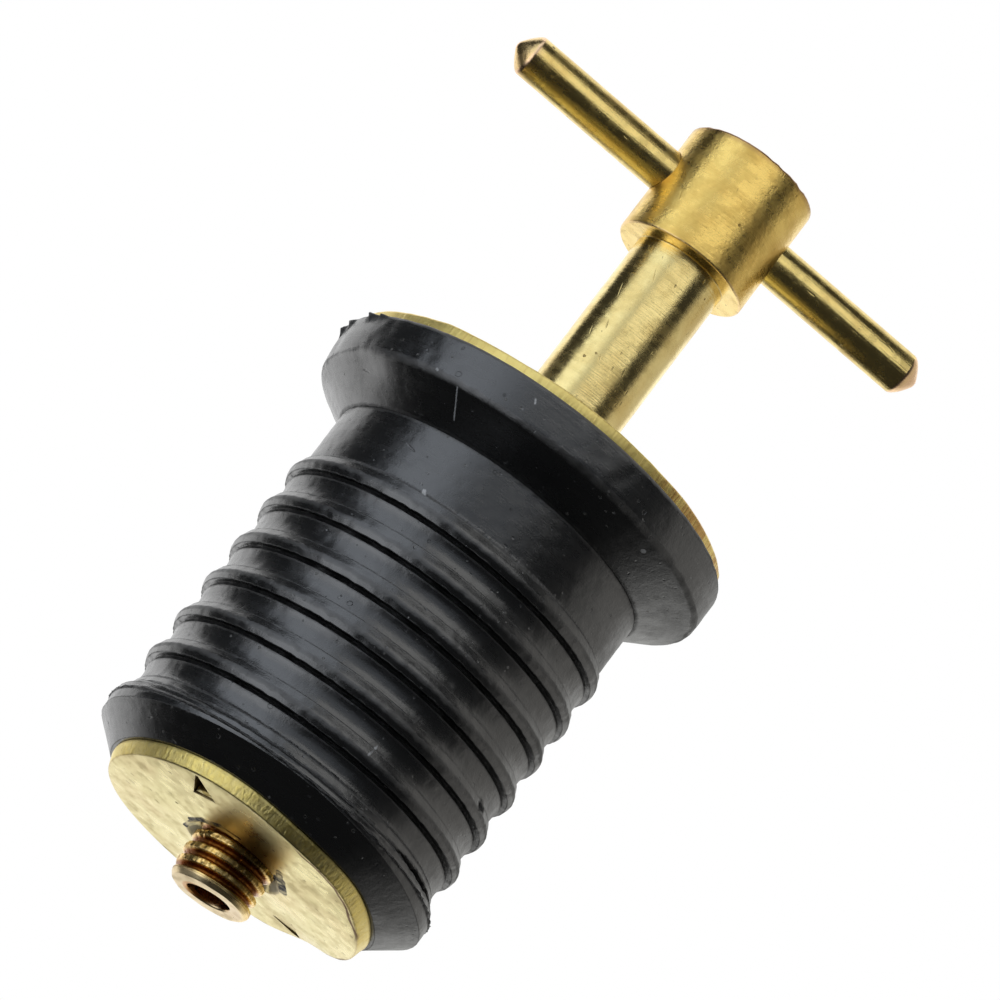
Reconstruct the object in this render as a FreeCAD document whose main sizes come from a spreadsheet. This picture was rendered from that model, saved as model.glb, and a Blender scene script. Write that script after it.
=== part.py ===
"""Twist-to-expand drain plug for a 25.4 mm drain tube, in millimetres.

The plug stands upright with +Z towards its handle. The origin is on its axis, in the corner where
the flange's cone meets the neck, which is where the mouth of the drain tube comes to rest.
"""
import FreeCAD, Part
import math
import os
import Sketcher

from FreeCAD import Placement, Rotation, Vector

# Driving sizes
# Every size below can be changed by itself. Lengths are in millimetres and angles in degrees.
SIZES = [
    ("crest_radius", 12.5, "rubber: top of the ribs"),
    ("groove_radius", 11.9, "rubber: bottom of the grooves"),
    ("neck_radius", 11.85, "rubber: plain neck under the flange"),
    ("neck_height", 4.45, "rubber: from the last rib to the flange"),
    ("rib_count", 6, "rubber: number of ribs"),
    ("groove_land", 1.37, "rubber: straight stretch at the bottom of a groove"),
    ("rib_lower_flank", 0.65, "rubber: height of a rib's lower flank"),
    ("rib_land", 0.45, "rubber: straight stretch on a rib's crest"),
    ("rib_upper_flank", 0.65, "rubber: height of a rib's upper flank"),
    ("lip_radius", 12.75, "rubber: widest part of the lip"),
    ("lip_rise", 1.53, "rubber: from the lowest groove down to the lip's edge"),
    ("lip_land", 0.75, "rubber: straight stretch on the lip's edge"),
    ("bevel_height", 1.9, "rubber: bevel from the lip to the lower face"),
    ("foot_radius", 10.6, "rubber: lower face"),
    ("flange_radius", 15.15, "rubber: flange"),
    ("flange_cone", 2.2, "rubber: height of the flange's conical underside"),
    ("flange_rim", 2.95, "rubber: height of the flange's straight rim"),
    ("flange_round", 0.5, "rubber: rounding of the flange's lower edge"),
    ("flange_top_round", 0.25, "rubber: rounding of the flange's upper edge"),
    ("bore_clearance", 0.25, "rubber: gap between its bore and the shank"),
    ("washer_radius", 14.6, "washer: outer radius"),
    ("washer_thickness", 0.85, "washer: thickness"),
    ("washer_clearance", 0.1, "washer: gap between its hole and the shank"),
    ("washer_round", 0.12, "washer: rounding of its rim"),
    ("shank_radius", 3.0, "spindle: thread's outside"),
    ("stem_radius", 3.4, "spindle: stem above the washer"),
    ("stem_length", 16.2, "spindle: from the washer to the head"),
    ("head_radius", 4.88, "spindle: head"),
    ("head_height", 8.5, "spindle: head"),
    ("head_chamfer", 0.2, "spindle: broken edges of the head"),
    ("stud_length", 3.35, "spindle: thread that stands out below the plate"),
    ("end_radius", 2.75, "spindle: outside of the end face"),
    ("end_chamfer", 0.3, "spindle: height of the chamfer at the end face"),
    ("flare_radius", 3.13, "spindle: end spread so that the plate can't come off"),
    ("flare_height", 0.6, "spindle: straight stretch of the spread end"),
    ("flare_run_out", 0.4, "spindle: from the spread end back to the thread"),
    ("end_hole_radius", 1.6, "spindle: hole drilled into the end"),
    ("end_hole_depth", 5.0, "spindle: depth of that hole to the drill's shoulder"),
    ("drill_point", 118.0, "spindle: full angle of the drill's point"),
    ("bar_radius", 1.55, "cross bar: radius"),
    ("bar_length", 35.4, "cross bar: from tip to tip"),
    ("bar_offset", 0.2, "cross bar: how far off its middle it was pressed into the head"),
    ("bar_level", 4.65, "cross bar: its axis above the head's underside"),
    ("bar_point", 1.2, "cross bar: length of a pointed end"),
    ("bar_nose", 0.35, "cross bar: radius of the small flat on a point"),
    ("plate_radius", 10.4, "plate: outer radius"),
    ("plate_thickness", 1.0, "plate: thickness"),
    ("plate_round", 0.3, "plate: rounding of its lower edge"),
    ("thread_clearance", 0.05, "plate: gap between its hole and the thread"),
    ("countersink_radius", 3.7, "plate: mouth of the countersink round the thread"),
    ("prong_bend", 7.4, "plate: from the axis to the line where a prong is bent up"),
    ("prong_length", 2.4, "plate: length of the opening that a prong leaves, towards the rim"),
    ("prong_rise", 2.3, "plate: height of a prong above the plate"),
    ("prong_width", 1.8, "plate: width of a prong at its bend"),
    ("prong_tip", 0.2, "plate: width of a prong at its tip"),
    ("prong_count", 2, "plate: number of prongs"),
    ("prong_clearance", 0.12, "rubber: gap round a prong in its pocket"),
    ("prong_angle", 229.0, "plate and rubber: direction of the first prong about the axis"),
]
SHEET_NAME = "sizes"
FULL_TURN = 360.0
HALF = 1 / 2
SAME_PLACE = 1e-4

doc = FreeCAD.newDocument("drain_plug")
sheet = doc.addObject("Spreadsheet::Sheet", SHEET_NAME)
for row, (alias, value, meaning) in enumerate(SIZES, start=1):
    sheet.set(f"A{row}", alias)
    sheet.set(f"B{row}", str(value))
    sheet.set(f"C{row}", meaning)
    sheet.setAlias(f"B{row}", alias)
doc.recompute()


def total(*terms):
    """A sum of sizes as a number and as a formula; each term is a name or a (factor, name) pair."""
    pairs = [term if isinstance(term, tuple) else (1, term) for term in terms]
    number = sum(factor * float(sheet.get(name)) for factor, name in pairs)
    formula = " + ".join(f"{factor} * {SHEET_NAME}.{name}" for factor, name in pairs)
    return number, formula


def minus(terms):
    """The same terms with their signs turned."""
    pairs = [term if isinstance(term, tuple) else (1, term) for term in terms]
    return tuple((-factor, name) for factor, name in pairs)


# Levels that several pieces share
# The rubber's levels are measured from its lower face, the spindle's from its end face.
RIB_COUNT = int(sheet.get("rib_count"))
PRONG_COUNT = int(sheet.get("prong_count"))
LIP_TOP = ("bevel_height", "lip_land")
LIP_FOOT = LIP_TOP + ("lip_rise",)
RIB = ("groove_land", "rib_lower_flank", "rib_land", "rib_upper_flank")
NECK_START = LIP_FOOT + tuple((RIB_COUNT, part) for part in RIB)
FLANGE_START = NECK_START + ("neck_height",)
RIM_START = FLANGE_START + ("flange_cone",)
RUBBER_TOP = RIM_START + ("flange_rim",)
RUBBER_FOOT = ("stud_length", "plate_thickness")
SHOULDER = RUBBER_FOOT + RUBBER_TOP + ("washer_thickness",)
HEAD_START = SHOULDER + ("stem_length",)
HEAD_TOP = HEAD_START + ("head_height",)
SPINDLE_END = minus(RUBBER_FOOT + FLANGE_START)


def origin_plane(body, role):
    """One of the body's own origin planes or axes, found by its role."""
    return next(item for item in body.Origin.OriginFeatures if item.Role == role)


def new_body(label):
    """An empty body with its own label."""
    body = doc.addObject("PartDesign::Body", label)
    body.Label = label
    return body


def new_sketch(body, name, role, offset=None):
    """A sketch on one of the body's origin planes, moved along the plane's normal by an offset."""
    sketch = body.newObject("Sketcher::SketchObject", name)
    sketch.AttachmentSupport = [(origin_plane(body, role), "")]
    sketch.MapMode = "FlatFace"
    if offset:
        sketch.setExpression("AttachmentOffset.Base.z", total(*offset)[1])
    return sketch


def tie(sketch, kind, name, geometry, vertex, size):
    """Hold one coordinate of a point at a distance from the sketch's origin."""
    number, formula = size
    index = sketch.addConstraint(Sketcher.Constraint(kind, -1, 1, geometry, vertex, number))
    sketch.renameConstraint(index, name)
    sketch.setExpression(f"Constraints.{name}", formula)


def flank(start, end, level_with_start):
    """A convex quarter-like arc between two corners, upright where it is level with its centre."""
    upright, other = (start, end) if level_with_start else (end, start)
    depth = abs(upright.x - other.x)
    height = abs(upright.y - other.y)
    radius = (height**2 + depth**2) / (2 * depth)
    centre = Vector(upright.x - radius, upright.y, 0)
    from_angle = math.atan2(start.y - centre.y, start.x - centre.x)
    to_angle = math.atan2(end.y - centre.y, end.x - centre.x)
    return Part.ArcOfCircle(Part.Circle(centre, Vector(0, 0, 1), radius), from_angle, to_angle)


def closed_outline(sketch, corners):
    """Draw corners, listed anticlockwise, as a closed outline with every corner tied to the sizes.

    A corner is (name, across, up, edge). across and up are the terms of its two coordinates, empty
    on an axis, and edge is the edge that leaves it: "line", or "round from" or "round to" for an
    arc whose centre is level with the corner that it leaves or reaches.
    """
    places = []
    for _, across, up, _ in corners:
        places.append(Vector(total(*across)[0], total(*up)[0], 0))
    followers = places[1:] + places[:1]
    for (_, _, _, edge), start, end in zip(corners, places, followers):
        if edge == "line":
            sketch.addGeometry(Part.LineSegment(start, end), False)
        else:
            sketch.addGeometry(flank(start, end, edge == "round from"), False)
    for index, (name, across, up, edge) in enumerate(corners):
        following = (index + 1) % len(corners)
        sketch.addConstraint(Sketcher.Constraint("Coincident", index, 2, following, 1))
        if edge == "round from":
            sketch.addConstraint(Sketcher.Constraint("Horizontal", index, 3, index, 1))
        if edge == "round to":
            sketch.addConstraint(Sketcher.Constraint("Horizontal", index, 3, index, 2))
        if across:
            tie(sketch, "DistanceX", f"{name}_across", index, 1, total(*across))
        else:
            sketch.addConstraint(Sketcher.Constraint("PointOnObject", index, 1, -2))
        if up:
            tie(sketch, "DistanceY", f"{name}_up", index, 1, total(*up))
        else:
            sketch.addConstraint(Sketcher.Constraint("PointOnObject", index, 1, -1))


def turned(body, name, sketch, axis="V_Axis"):
    """Turn an outline once round an axis of its sketch."""
    revolution = body.newObject("PartDesign::Revolution", name)
    revolution.Profile = sketch
    revolution.ReferenceAxis = (sketch, [axis])
    revolution.Angle = FULL_TURN
    doc.recompute()
    return revolution


def ring_edges(feature, across, up):
    """The names of the circular edges of a given radius at a given level."""
    radius = total(*across)[0]
    level = total(*up)[0]
    names = []
    for number, edge in enumerate(feature.Shape.Edges, start=1):
        if not hasattr(edge.Curve, "Radius"):
            continue
        if abs(edge.Curve.Radius - radius) > SAME_PLACE:
            continue
        if abs(edge.Curve.Center.z - level) < SAME_PLACE:
            names.append(f"Edge{number}")
    return names


def rounded(body, name, base, rings, size):
    """Round the circular edges given as (radius terms, level terms)."""
    names = [edge for across, up in rings for edge in ring_edges(base, across, up)]
    fillet = body.newObject("PartDesign::Fillet", name)
    fillet.Base = (base, names)
    fillet.setExpression("Radius", total(size)[1])
    doc.recompute()
    return fillet


def repeated(body, name, originals, count):
    """Repeat features evenly round the body's upright axis."""
    pattern = body.newObject("PartDesign::PolarPattern", name)
    pattern.Originals = originals
    pattern.Axis = (origin_plane(body, "Z_Axis"), [""])
    pattern.Angle = FULL_TURN
    pattern.Occurrences = count
    body.Tip = pattern
    doc.recompute()
    return pattern


def place(body, terms, angle=0.0):
    """Set a finished body at its level, turned about the plug's axis."""
    body.Placement = Placement(Vector(0, 0, 0), Rotation(Vector(0, 0, 1), angle))
    body.setExpression("Placement.Base.z", total(*terms)[1])


# Rubber stopper
def rib_corners(number):
    """One rib and the groove under it."""
    groove = LIP_FOOT + tuple((number, part) for part in RIB)
    rib_foot = groove + ("groove_land",)
    crest_start = rib_foot + ("rib_lower_flank",)
    crest_end = crest_start + ("rib_land",)
    return [
        (f"groove_{number}", ("groove_radius",), groove, "line"),
        (f"rib_{number}", ("groove_radius",), rib_foot, "round to"),
        (f"crest_{number}", ("crest_radius",), crest_start, "line"),
        (f"crest_{number}_end", ("crest_radius",), crest_end, "round from"),
    ]


def make_rubber_stopper():
    """Flange, neck, ribs and bevelled lip in one moulding, with a bore and pockets for the prongs."""
    body = new_body("rubber_stopper")
    bore = ("shank_radius", "bore_clearance")
    corners = [
        ("bore_foot", bore, (), "line"),
        ("foot", ("foot_radius",), (), "line"),
        ("lip_start", ("lip_radius",), ("bevel_height",), "line"),
        ("lip_end", ("lip_radius",), LIP_TOP, "round from"),
    ]
    for number in range(RIB_COUNT):
        corners += rib_corners(number)
    corners += [
        ("neck_foot", ("neck_radius",), NECK_START, "line"),
        ("neck_top", ("neck_radius",), FLANGE_START, "line"),
        ("rim_foot", ("flange_radius",), RIM_START, "line"),
        ("rim_top", ("flange_radius",), RUBBER_TOP, "line"),
        ("bore_top", bore, RUBBER_TOP, "line"),
    ]
    outline = new_sketch(body, "rubber_outline", "XZ_Plane")
    closed_outline(outline, corners)
    moulding = turned(body, "rubber_moulding", outline)

    flange_edge = [(("flange_radius",), RIM_START)]
    lower_edge = rounded(body, "flange_lower_edge", moulding, flange_edge, "flange_round")
    top_edge = [(("flange_radius",), RUBBER_TOP)]
    rounded(body, "flange_upper_edge", lower_edge, top_edge, "flange_top_round")

    outer_face = ("prong_bend", "prong_clearance")
    outline = new_sketch(body, "pocket_outline", "YZ_Plane", outer_face)
    closed_outline(outline, prong_corners((), "prong_clearance"))
    pocket = body.newObject("PartDesign::Pocket", "prong_pocket")
    pocket.Profile = outline
    depth = ("prong_clearance", "plate_thickness", "prong_clearance")
    pocket.setExpression("Length", total(*depth)[1])
    doc.recompute()
    repeated(body, "prong_pockets", [pocket], PRONG_COUNT)
    place(body, minus(FLANGE_START), float(sheet.get("prong_angle")))
    return body


# Bottom plate
def prong_corners(foot, *clearance):
    """A prong seen along the radius, from the plate's level up to its narrow tip."""
    half_width = ((HALF, "prong_width"),) + clearance
    half_tip = ((HALF, "prong_tip"),) + clearance
    tip_level = foot + ("prong_rise",) + clearance
    return [
        ("foot_left", minus(half_width), foot, "line"),
        ("foot_right", half_width, foot, "line"),
        ("tip_right", half_tip, tip_level, "line"),
        ("tip_left", minus(half_tip), tip_level, "line"),
    ]


def make_bottom_plate():
    """Stamped disc, tapped and countersunk, with prongs lanced from it and bent into the rubber."""
    body = new_body("bottom_plate")
    hole = ("shank_radius", "thread_clearance")
    countersink_depth = ("countersink_radius",) + minus(hole)
    outline = new_sketch(body, "plate_outline", "XZ_Plane")
    closed_outline(outline, [
        ("countersink_mouth", ("countersink_radius",), (), "line"),
        ("rim_low", ("plate_radius",), (), "line"),
        ("rim_high", ("plate_radius",), ("plate_thickness",), "line"),
        ("hole_high", hole, ("plate_thickness",), "line"),
        ("hole_low", hole, countersink_depth, "line"),
    ])
    disc = turned(body, "plate_disc", outline)
    rounded(body, "plate_lower_edge", disc, [(("plate_radius",), ())], "plate_round")

    lance = new_sketch(body, "lance_outline", "XY_Plane")
    tip = ("prong_bend", "prong_length")
    closed_outline(lance, [
        ("bend_left", ("prong_bend",), ((-HALF, "prong_width"),), "line"),
        ("tip_left", tip, ((-HALF, "prong_tip"),), "line"),
        ("tip_right", tip, ((HALF, "prong_tip"),), "line"),
        ("bend_right", ("prong_bend",), ((HALF, "prong_width"),), "line"),
    ])
    opening = body.newObject("PartDesign::Pocket", "lanced_opening")
    opening.Profile = lance
    opening.Reversed = True
    opening.setExpression("Length", total("plate_thickness")[1])
    doc.recompute()

    upright = new_sketch(body, "prong_outline", "YZ_Plane", ("prong_bend", (-1, "plate_thickness")))
    closed_outline(upright, prong_corners(("plate_thickness",)))
    prong = body.newObject("PartDesign::Pad", "prong")
    prong.Profile = upright
    prong.setExpression("Length", total("plate_thickness")[1])
    doc.recompute()
    repeated(body, "prongs", [opening, prong], PRONG_COUNT)
    place(body, minus(FLANGE_START + ("plate_thickness",)), float(sheet.get("prong_angle")))
    return body


# Top washer
def make_top_washer():
    """Thin disc between the stem's shoulder and the rubber."""
    body = new_body("top_washer")
    hole = ("shank_radius", "washer_clearance")
    outline = new_sketch(body, "washer_outline", "XZ_Plane")
    closed_outline(outline, [
        ("hole_low", hole, (), "line"),
        ("rim_low", ("washer_radius",), (), "line"),
        ("rim_high", ("washer_radius",), ("washer_thickness",), "line"),
        ("hole_high", hole, ("washer_thickness",), "line"),
    ])
    disc = turned(body, "washer_disc", outline)
    rim = [(("washer_radius",), ()), (("washer_radius",), ("washer_thickness",))]
    rounded(body, "washer_rim", disc, rim, "washer_round")
    place(body, RUBBER_TOP + minus(FLANGE_START))
    return body


# Spindle
def make_spindle():
    """Head, stem, shank and spread end, turned as one piece, cross-drilled for the bar."""
    body = new_body("spindle")
    flare_top = ("end_chamfer", "flare_height")
    half_point = math.radians(float(sheet.get("drill_point")) * HALF)
    point_height = 1 / math.tan(half_point)
    hole_tip = ("end_hole_depth", (point_height, "end_hole_radius"))
    head_edge = ("head_radius", (-1, "head_chamfer"))
    outline = new_sketch(body, "spindle_outline", "XZ_Plane")
    closed_outline(outline, [
        ("hole_mouth", ("end_hole_radius",), (), "line"),
        ("end_face", ("end_radius",), (), "line"),
        ("flare_low", ("flare_radius",), ("end_chamfer",), "line"),
        ("flare_high", ("flare_radius",), flare_top, "line"),
        ("shank_low", ("shank_radius",), flare_top + ("flare_run_out",), "line"),
        ("shank_high", ("shank_radius",), SHOULDER, "line"),
        ("stem_low", ("stem_radius",), SHOULDER, "line"),
        ("stem_high", ("stem_radius",), HEAD_START, "line"),
        ("head_underside", head_edge, HEAD_START, "line"),
        ("head_low", ("head_radius",), HEAD_START + ("head_chamfer",), "line"),
        ("head_high", ("head_radius",), HEAD_TOP + ((-1, "head_chamfer"),), "line"),
        ("head_face", head_edge, HEAD_TOP, "line"),
        ("head_centre", (), HEAD_TOP, "line"),
        ("hole_tip", (), hole_tip, "line"),
        ("hole_floor", ("end_hole_radius",), ("end_hole_depth",), "line"),
    ])
    turned(body, "spindle_turning", outline)

    bar_axis = HEAD_START + ("bar_level",)
    number, _ = total(*bar_axis)
    cross = new_sketch(body, "cross_hole_outline", "YZ_Plane")
    bar_radius, radius_formula = total("bar_radius")
    cross.addGeometry(Part.Circle(Vector(0, number, 0), Vector(0, 0, 1), bar_radius), False)
    cross.addConstraint(Sketcher.Constraint("PointOnObject", 0, 3, -2))
    tie(cross, "DistanceY", "bar_axis_up", 0, 3, total(*bar_axis))
    index = cross.addConstraint(Sketcher.Constraint("Radius", 0, bar_radius))
    cross.renameConstraint(index, "hole_radius")
    cross.setExpression("Constraints.hole_radius", radius_formula)
    hole = body.newObject("PartDesign::Pocket", "cross_hole")
    hole.Profile = cross
    hole.Type = "ThroughAll"
    hole.Midplane = True
    doc.recompute()
    place(body, SPINDLE_END)
    return body


# Cross bar
def make_cross_bar():
    """Drawn rod with a pointed end on both sides, lying along X."""
    body = new_body("cross_bar")
    left = ((-HALF, "bar_length"), (-1, "bar_offset"))
    right = ((HALF, "bar_length"), (-1, "bar_offset"))
    outline = new_sketch(body, "bar_outline", "XZ_Plane")
    closed_outline(outline, [
        ("axis_left", left, (), "line"),
        ("axis_right", right, (), "line"),
        ("nose_right", right, ("bar_nose",), "line"),
        ("shoulder_right", right + ((-1, "bar_point"),), ("bar_radius",), "line"),
        ("shoulder_left", left + ("bar_point",), ("bar_radius",), "line"),
        ("nose_left", left, ("bar_nose",), "line"),
    ])
    turned(body, "bar_turning", outline, "H_Axis")
    place(body, HEAD_START + ("bar_level",) + SPINDLE_END)
    return body


def check_features():
    """Stop if any object of the document failed."""
    for item in doc.Objects:
        if "Invalid" in item.State or "Error" in item.State:
            raise RuntimeError(f"{item.Label} failed: {item.State}")


def check_solid(body):
    """Stop if a finished piece isn't one valid solid."""
    shape = body.Shape
    if shape.isNull() or not shape.isValid() or len(shape.Solids) != 1:
        raise RuntimeError(f"{body.Label} isn't one valid solid")


pieces = [
    make_spindle(),
    make_cross_bar(),
    make_top_washer(),
    make_rubber_stopper(),
    make_bottom_plate(),
]
doc.recompute()
check_features()
for piece in pieces:
    check_solid(piece)
os.makedirs("parts", exist_ok=True)
for piece in pieces:
    piece.Shape.exportStep(f"parts/{piece.Label}.step")
    box = piece.Shape.BoundBox
    volume = piece.Shape.Volume
    print(f"{piece.Label}: z {box.ZMin:.2f} to {box.ZMax:.2f}, volume {volume:.1f}")
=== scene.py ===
import math

import bmesh
import bpy
import numpy as np
from mathutils import Matrix, Vector


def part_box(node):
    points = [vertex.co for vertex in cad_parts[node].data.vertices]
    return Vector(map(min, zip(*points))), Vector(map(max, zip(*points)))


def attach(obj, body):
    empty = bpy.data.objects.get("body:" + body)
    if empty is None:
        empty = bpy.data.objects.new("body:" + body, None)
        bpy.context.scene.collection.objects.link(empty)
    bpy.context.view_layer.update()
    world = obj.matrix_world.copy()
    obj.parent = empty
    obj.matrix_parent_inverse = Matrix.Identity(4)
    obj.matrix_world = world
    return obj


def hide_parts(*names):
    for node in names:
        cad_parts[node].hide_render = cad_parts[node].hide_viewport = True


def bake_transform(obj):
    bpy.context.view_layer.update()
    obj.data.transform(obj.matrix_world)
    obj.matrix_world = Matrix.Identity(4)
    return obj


# Finish, light and camera for the drain plug. Lengths are in metres: MM turns millimetres into them.
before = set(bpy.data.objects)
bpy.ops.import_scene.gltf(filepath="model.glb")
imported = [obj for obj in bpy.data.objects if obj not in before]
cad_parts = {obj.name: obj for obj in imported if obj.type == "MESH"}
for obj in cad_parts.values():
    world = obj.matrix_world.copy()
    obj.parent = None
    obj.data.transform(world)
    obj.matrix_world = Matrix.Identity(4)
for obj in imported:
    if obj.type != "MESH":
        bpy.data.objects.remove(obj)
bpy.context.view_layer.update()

MM = 0.001
TURN = 2 * math.pi

# Levels and radii that the frame gives
RUBBER_LOW, RUBBER_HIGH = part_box("rubber_stopper")
_, WASHER_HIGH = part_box("top_washer")
PLATE_LOW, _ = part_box("bottom_plate")
SPINDLE_LOW, SPINDLE_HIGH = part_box("spindle")
BAR_LOW, BAR_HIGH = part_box("cross_bar")

FOOT_LEVEL = RUBBER_LOW.z
RUBBER_TOP = RUBBER_HIGH.z
FLANGE_RADIUS = RUBBER_HIGH.x
WASHER_RADIUS = WASHER_HIGH.x
WASHER_TOP = WASHER_HIGH.z
PLATE_FACE = PLATE_LOW.z
SPINDLE_END = SPINDLE_LOW.z
HEAD_TOP = SPINDLE_HIGH.z
BAR_LEFT = BAR_LOW.x
BAR_RIGHT = BAR_HIGH.x
BAR_RADIUS = BAR_HIGH.y
BAR_LEVEL = (BAR_LOW.z + BAR_HIGH.z) / 2

# Rubber stopper: the solid's own sizes between those levels
BEVEL_HEIGHT = 1.9 * MM
LIP_LAND = 0.75 * MM
LIP_RISE = 1.53 * MM
GROOVE_LAND = 1.37 * MM
RIB_HEIGHT = 1.75 * MM
RIB_COUNT = 6
NECK_HEIGHT = 4.45 * MM
FLANGE_CONE = 2.2 * MM
FOOT_RADIUS = 10.6 * MM
LIP_RADIUS = 12.75 * MM
CREST_RADIUS = 12.5 * MM
GROOVE_RADIUS = 11.9 * MM
NECK_RADIUS = 11.85 * MM
BORE_RADIUS = 3.25 * MM

# Brass: the solids' own sizes
STEM_RADIUS = 3.4 * MM
SHANK_RADIUS = 3.0 * MM
HEAD_RADIUS = 4.88 * MM
HEAD_HEIGHT = 8.5 * MM
END_HOLE_RADIUS = 1.6 * MM
END_HOLE_DEPTH = 5.0 * MM
END_RADIUS = 2.75 * MM
END_CHAMFER = 0.3 * MM
BAR_POINT = 1.2 * MM
BAR_NOSE = 0.35 * MM
WASHER_HOLE = 3.1 * MM
PLATE_RADIUS = 10.4 * MM
PLATE_HOLE = 3.05 * MM
COUNTERSINK_RADIUS = 3.7 * MM
THREAD_PITCH = 1.0 * MM
PRONG_BEND = 7.4 * MM
PRONG_LENGTH = 2.4 * MM
PRONG_WIDTH = 1.8 * MM
PRONG_TIP = 0.2 * MM

# Sizes that only the dressed pieces have, after the photo
FLARE_RADIUS = 3.01 * MM
FLARE_HEIGHT = 0.45 * MM
THREAD_DEPTH = 0.42 * MM
THREAD_LENGTH = 12.0 * MM
THREAD_START = 0.6
PRONG_SHEET = 0.34 * MM

# Prongs as (direction, how far bent up, share of the opening's width)
PRONGS = [(math.radians(229), math.radians(88), 0.86), (math.radians(37), math.radians(3), 0.985)]

# Sides of the plug, as angles about its axis
FRONT = math.radians(-100)
LEFT = math.radians(170)
RIGHT = math.radians(-10)


# Mesh making
def outline(corners, step):
    """Points along (radius, level, rounding) corners, with arcs in the corners and steps in between."""
    flat = [Vector((r, z)) for r, z, _ in corners]
    points = [flat[0]]
    for index in range(1, len(corners)):
        here = flat[index]
        rounding = corners[index][2]
        last = index == len(corners) - 1
        if last or rounding == 0:
            points += stepped(points[-1], here, step)
            continue
        back = (flat[index - 1] - here).normalized()
        ahead = (flat[index + 1] - here).normalized()
        half = math.acos(max(-1.0, min(1.0, back.dot(ahead)))) / 2
        run = rounding / math.tan(half)
        start = here + back * run
        finish = here + ahead * run
        centre = here + (back + ahead).normalized() * rounding / math.sin(half)
        points += stepped(points[-1], start, step)
        sweep = math.pi - 2 * half
        parts = max(2, round(sweep / math.radians(12)))
        for part in range(1, parts + 1):
            share = part / parts
            spoke = start.lerp(finish, share) - centre
            points.append(centre + spoke.normalized() * rounding)
    return [tuple(point) for point in points]


def stepped(start, finish, step):
    """Points from start, not itself included, to finish, no further apart than step."""
    count = max(1, math.ceil((finish - start).length / step))
    return [start.lerp(finish, number / count) for number in range(1, count + 1)]


def turned_grid(profile, segments):
    """Radius, angle and level grids, profile by segments, for an outline turned about Z."""
    rows = np.array(profile)
    angles = np.arange(segments) * TURN / segments
    radius = np.repeat(rows[:, :1], segments, axis=1)
    level = np.repeat(rows[:, 1:2], segments, axis=1)
    angle = np.repeat(angles[None, :], len(rows), axis=0)
    return radius, angle, level


def to_points(radius, angle, level):
    """Radius, angle and level as x, y and z."""
    return np.stack([radius * np.cos(angle), radius * np.sin(angle), level], axis=-1)


# Unevenness of the pieces: seed, fewest and most waves a turn, how steeply they climb, how many are
# added up, and their height in millimetres or, for what grows or shrinks a piece, as a share
WAVES = {
    "out_of_round": (11, 2, 5, 0.15, 10, 0.022),
    "bead_bulges": (12, 2, 10, 0.9, 10, 0.03),
    "moulded_skin": (13, 20, 90, 6.0, 16, 0.005),
    "slit_walls": (14, 9, 40, 0.5, 10, 0.05),
    "ragged_flash": (15, 25, 110, 0.4, 16, 0.045),
    "crease_depth": (16, 8, 60, 0.4, 10, 0.03),
    "crack_depth": (17, 30, 100, 0.4, 10, 0.25),
    "crack_flash": (18, 40, 120, 2.0, 16, 0.12),
    "flange_rim": (19, 14, 70, 3.0, 16, 0.01),
    "rib_level": (21, 1, 4, 0.25, 10, 0.022),
    "slit_level": (22, 24, 80, 0.0, 16, 0.012),
    "crack_level": (23, 30, 110, 0.0, 16, 0.12),
    "flash_level": (24, 20, 90, 0.0, 16, 0.03),
    "bead_level": (25, 24, 110, 0.0, 16, 0.025),
    "thread_nicks": (31, 6, 40, 6.0, 14, 0.028),
    "stud_round": (32, 2, 9, 0.4, 10, 0.025),
    "head_edge": (33, 2, 24, 0.4, 10, 0.03),
    "thread_chips": (34, 3, 16, 3.0, 8, 1.0),
    "bar_round": (41, 1, 5, 0.4, 10, 0.004),
    "washer_level": (51, 2, 6, 0.0, 10, 0.05),
    "washer_edge": (52, 3, 30, 0.0, 10, 0.04),
    "plate_edge": (61, 2, 7, 0.0, 10, 0.004),
    "plate_face": (63, 2, 9, 0.4, 10, 0.008),
}


def waves(name, angle, level):
    """One kind of unevenness, seeded, that meets itself round the axis."""
    seed, fewest, most, climb, count, height = WAVES[name]
    dice = np.random.default_rng(seed)
    total = np.zeros_like(angle)
    for _ in range(count):
        turns = dice.integers(fewest, most + 1)
        rise = dice.uniform(-climb, climb) / MM
        total += np.cos(turns * angle + rise * level + dice.uniform(0, TURN))
    return height * (total * math.sqrt(2 / count))


def towards(angle, direction, spread):
    """One in a direction about the axis, falling smoothly to nothing a spread away from it."""
    away = np.abs((angle - direction + math.pi) % TURN - math.pi)
    share = np.clip(1 - away / spread, 0, 1)
    return share * share * (3 - 2 * share)


def lump(angle, level, direction, height, wide, tall, reach):
    """A rounded lump, one at its middle, at a direction and height on a surface of radius reach."""
    away = ((angle - direction + math.pi) % TURN - math.pi) * reach
    return np.exp(-(away / wide) ** 2 - ((level - height) / tall) ** 2)


def ring(level, height, tall):
    """One at a height, falling off smoothly above and below it."""
    return np.exp(-((level - height) / tall) ** 2)


def step_up(value, low, high):
    """A smooth step from 0 at low to 1 at high."""
    share = np.clip((value - low) / (high - low), 0, 1)
    return share * share * (3 - 2 * share)


def band(low, high, count):
    """Faces between two rings of count points that start at the numbers low and high."""
    faces = []
    for spot in range(count):
        following = (spot + 1) % count
        faces.append((low + spot, low + following, high + following, high + spot))
    return faces


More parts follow.
